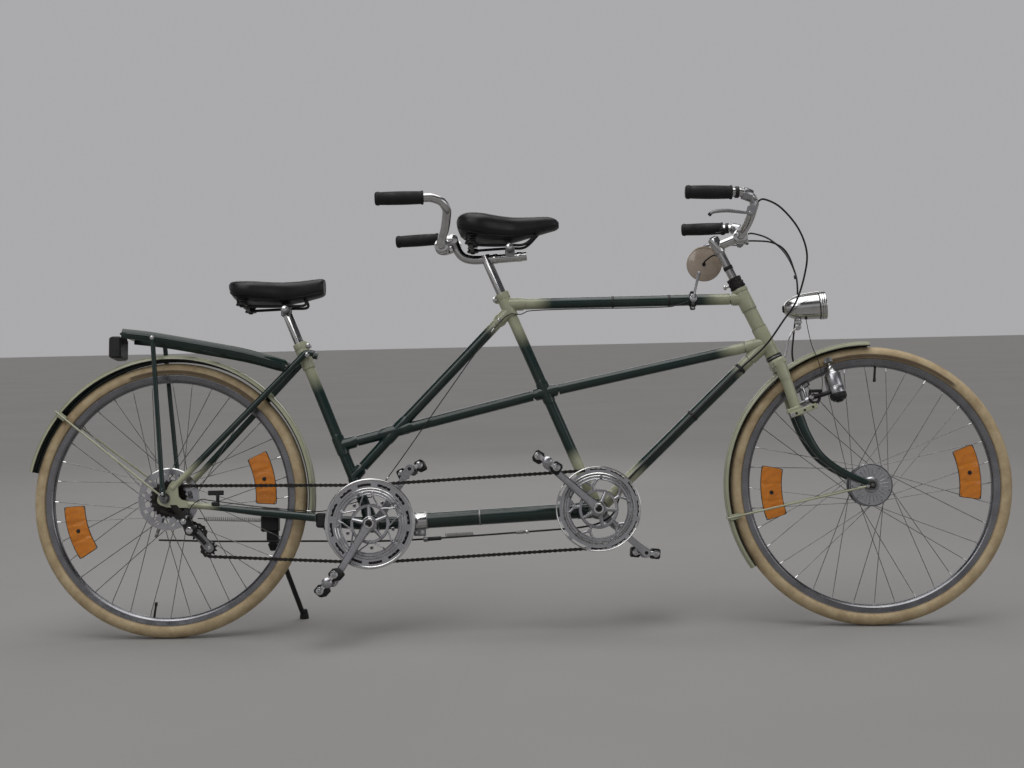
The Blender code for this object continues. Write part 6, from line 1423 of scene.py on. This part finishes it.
b.sweep(smooth(BAR_CABLE, 8), 0.0022, CABLE, n=14)
b.rod(V(1.6145, 0.0560, 0.8980), V(1.6155, 0.0530, 0.8900), 0.0040, BLACK, n=16, edge=0.0006)
b.done()
b = Piece("shift_cable.look", "frame", "shift_cable", slot="black_plastic")
b.sweep(SHIFT_CABLE[:1] + smooth(SHIFT_CABLE, 4)[1:], 0.0013, CABLE, n=10)
for k in (5, 6, 10):
    d = (SHIFT_CABLE[k + 1] - SHIFT_CABLE[k - 1]).normalized()
    b.rod(SHIFT_CABLE[k] - d * 0.006, SHIFT_CABLE[k] + d * 0.006, 0.0024, CHROME, n=14, edge=0.0004)
b.done()
for k in range(8):
    turn = Matrix.Rotation(STEER * min(1.0, (8 - k) / 4), 4, HEAD_AXIS)
    REAR_CABLE[k] = Matrix.Translation(HEAD_P) @ turn @ Matrix.Translation(-HEAD_P) @ REAR_CABLE[k]
b = Piece("rear_brake_cable.look", None, "rear_brake_cable", slot="black_plastic")
b.sweep(smooth(REAR_CABLE, 8), 0.0024, CABLE, n=14)
for x0, x1, r, mat in ((0.880, 0.902, 0.0040, GREY_STEEL), (0.904, 0.912, 0.0052, CHROME),
                       (0.655, 0.690, 0.0050, BLACK), (0.645, 0.656, 0.0066, GREY_STEEL)):
    b.rod(V(x0, -0.0062 + 0.0002, 0.2490 - (0.890 - x0) * 0.054), V(x1, -0.0060, 0.2490 - (0.890 - x1) * 0.054), r, mat,
          n=24, edge=0.0008)
b.coil(V(0.700, -0.0052, 0.2452), V(0.772, -0.0052, 0.2478), 0.0046, 0.0008, 16, SPOKE, 12, 5)
cable = b.done()
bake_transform(cable)

# ---- stage, light and camera
mat, t, s = nodes_of("studio_floor")
t.links.new(ramp(t, noise(t, 0.8, 3), [(0.3, (0.245, 0.238, 0.231)), (0.7, (0.265, 0.257, 0.250))]),
            s.inputs["Base Color"])
s.inputs["Roughness"].default_value = 0.85
mesh = bpy.data.meshes.new("floor")
mesh.from_pydata([(-60, -60, 0), (60, -60, 0), (60, 60, 0), (-60, 60, 0)], [], [(0, 1, 2, 3)])
mesh.materials.append(mat)
floor = bpy.data.objects.new("floor", mesh)
bpy.context.scene.collection.objects.link(floor)

world = bpy.data.worlds.new("studio")
world.use_nodes = True
tree = world.node_tree
split = tree.nodes.new("ShaderNodeSeparateXYZ")
tree.links.new(tree.nodes.new("ShaderNodeTexCoord").outputs["Generated"], split.inputs[0])
lift = tree.nodes.new("ShaderNodeMath")
lift.operation, lift.inputs[1].default_value, lift.inputs[2].default_value = "MULTIPLY_ADD", 0.5, 0.5
tree.links.new(split.outputs["Z"], lift.inputs[0])
HORIZON, DARK, SOFTBOX = (0.405, 0.400, 0.410), (0.070, 0.072, 0.078), (1.15, 1.15, 1.12)
sky = ramp(tree, lift.outputs[0], [(0.0, HORIZON), (0.62, HORIZON), (0.74, DARK), (0.90, DARK), (0.955, SOFTBOX)])
tree.links.new(sky, tree.nodes["Background"].inputs["Color"])
world.node_tree.nodes["Background"].inputs["Strength"].default_value = 1.0
bpy.context.scene.world = world


def area_light(name, where, target, size, power, tint=(1, 1, 1)):
    light = bpy.data.lights.new(name, "AREA")
    light.shape, light.size, light.size_y = "RECTANGLE", size[0], size[1]
    light.energy, light.color = power, tint
    obj = bpy.data.objects.new(name, light)
    obj.location = where
    obj.rotation_euler = (Vector(target) - Vector(where)).to_track_quat("-Z", "Y").to_euler()
    bpy.context.scene.collection.objects.link(obj)


area_light("key", (-1.8, -3.2, 3.4), (0, 0, 0.5), (2.6, 1.8), 34)
area_light("fill", (3.4, -2.2, 1.9), (0, 0, 0.5), (2.0, 1.6), 11)
area_light("top", (0.3, 0.8, 3.9), (0, 0, 0.4), (3.2, 1.8), 24)
area_light("back", (-0.6, 4.2, 2.4), (0, 0, 0.5), (3.0, 1.6), 20)
sun = bpy.data.lights.new("even", "SUN")
sun.energy, sun.angle = 0.95, math.radians(50)
even = bpy.data.objects.new("even", sun)
even.rotation_euler = V(-0.15, -0.30, 1).to_track_quat("Z", "Y").to_euler()
bpy.context.scene.collection.objects.link(even)

forward = V(-0.0241, 0.9990, -0.0379).normalized()
right = forward.cross(V(0, 0, 1)).normalized()
up, roll = right.cross(forward), math.radians(-1.30)
right, up = right * math.cos(roll) + up * math.sin(roll), up * math.cos(roll) - right * math.sin(roll)
lens = bpy.data.cameras.new("camera")
lens.lens, lens.sensor_width, lens.clip_start = 50.99, 36.0, 0.05
camera = bpy.data.objects.new("camera", lens)
camera.matrix_world = Matrix(((right.x, up.x, -forward.x, 0.0857), (right.y, up.y, -forward.y, -3.7494),
                              (right.z, up.z, -forward.z, 0.762), (0, 0, 0, 1)))
bpy.context.scene.collection.objects.link(camera)
bpy.context.scene.camera = camera
bpy.context.scene.view_settings.view_transform = "Standard"
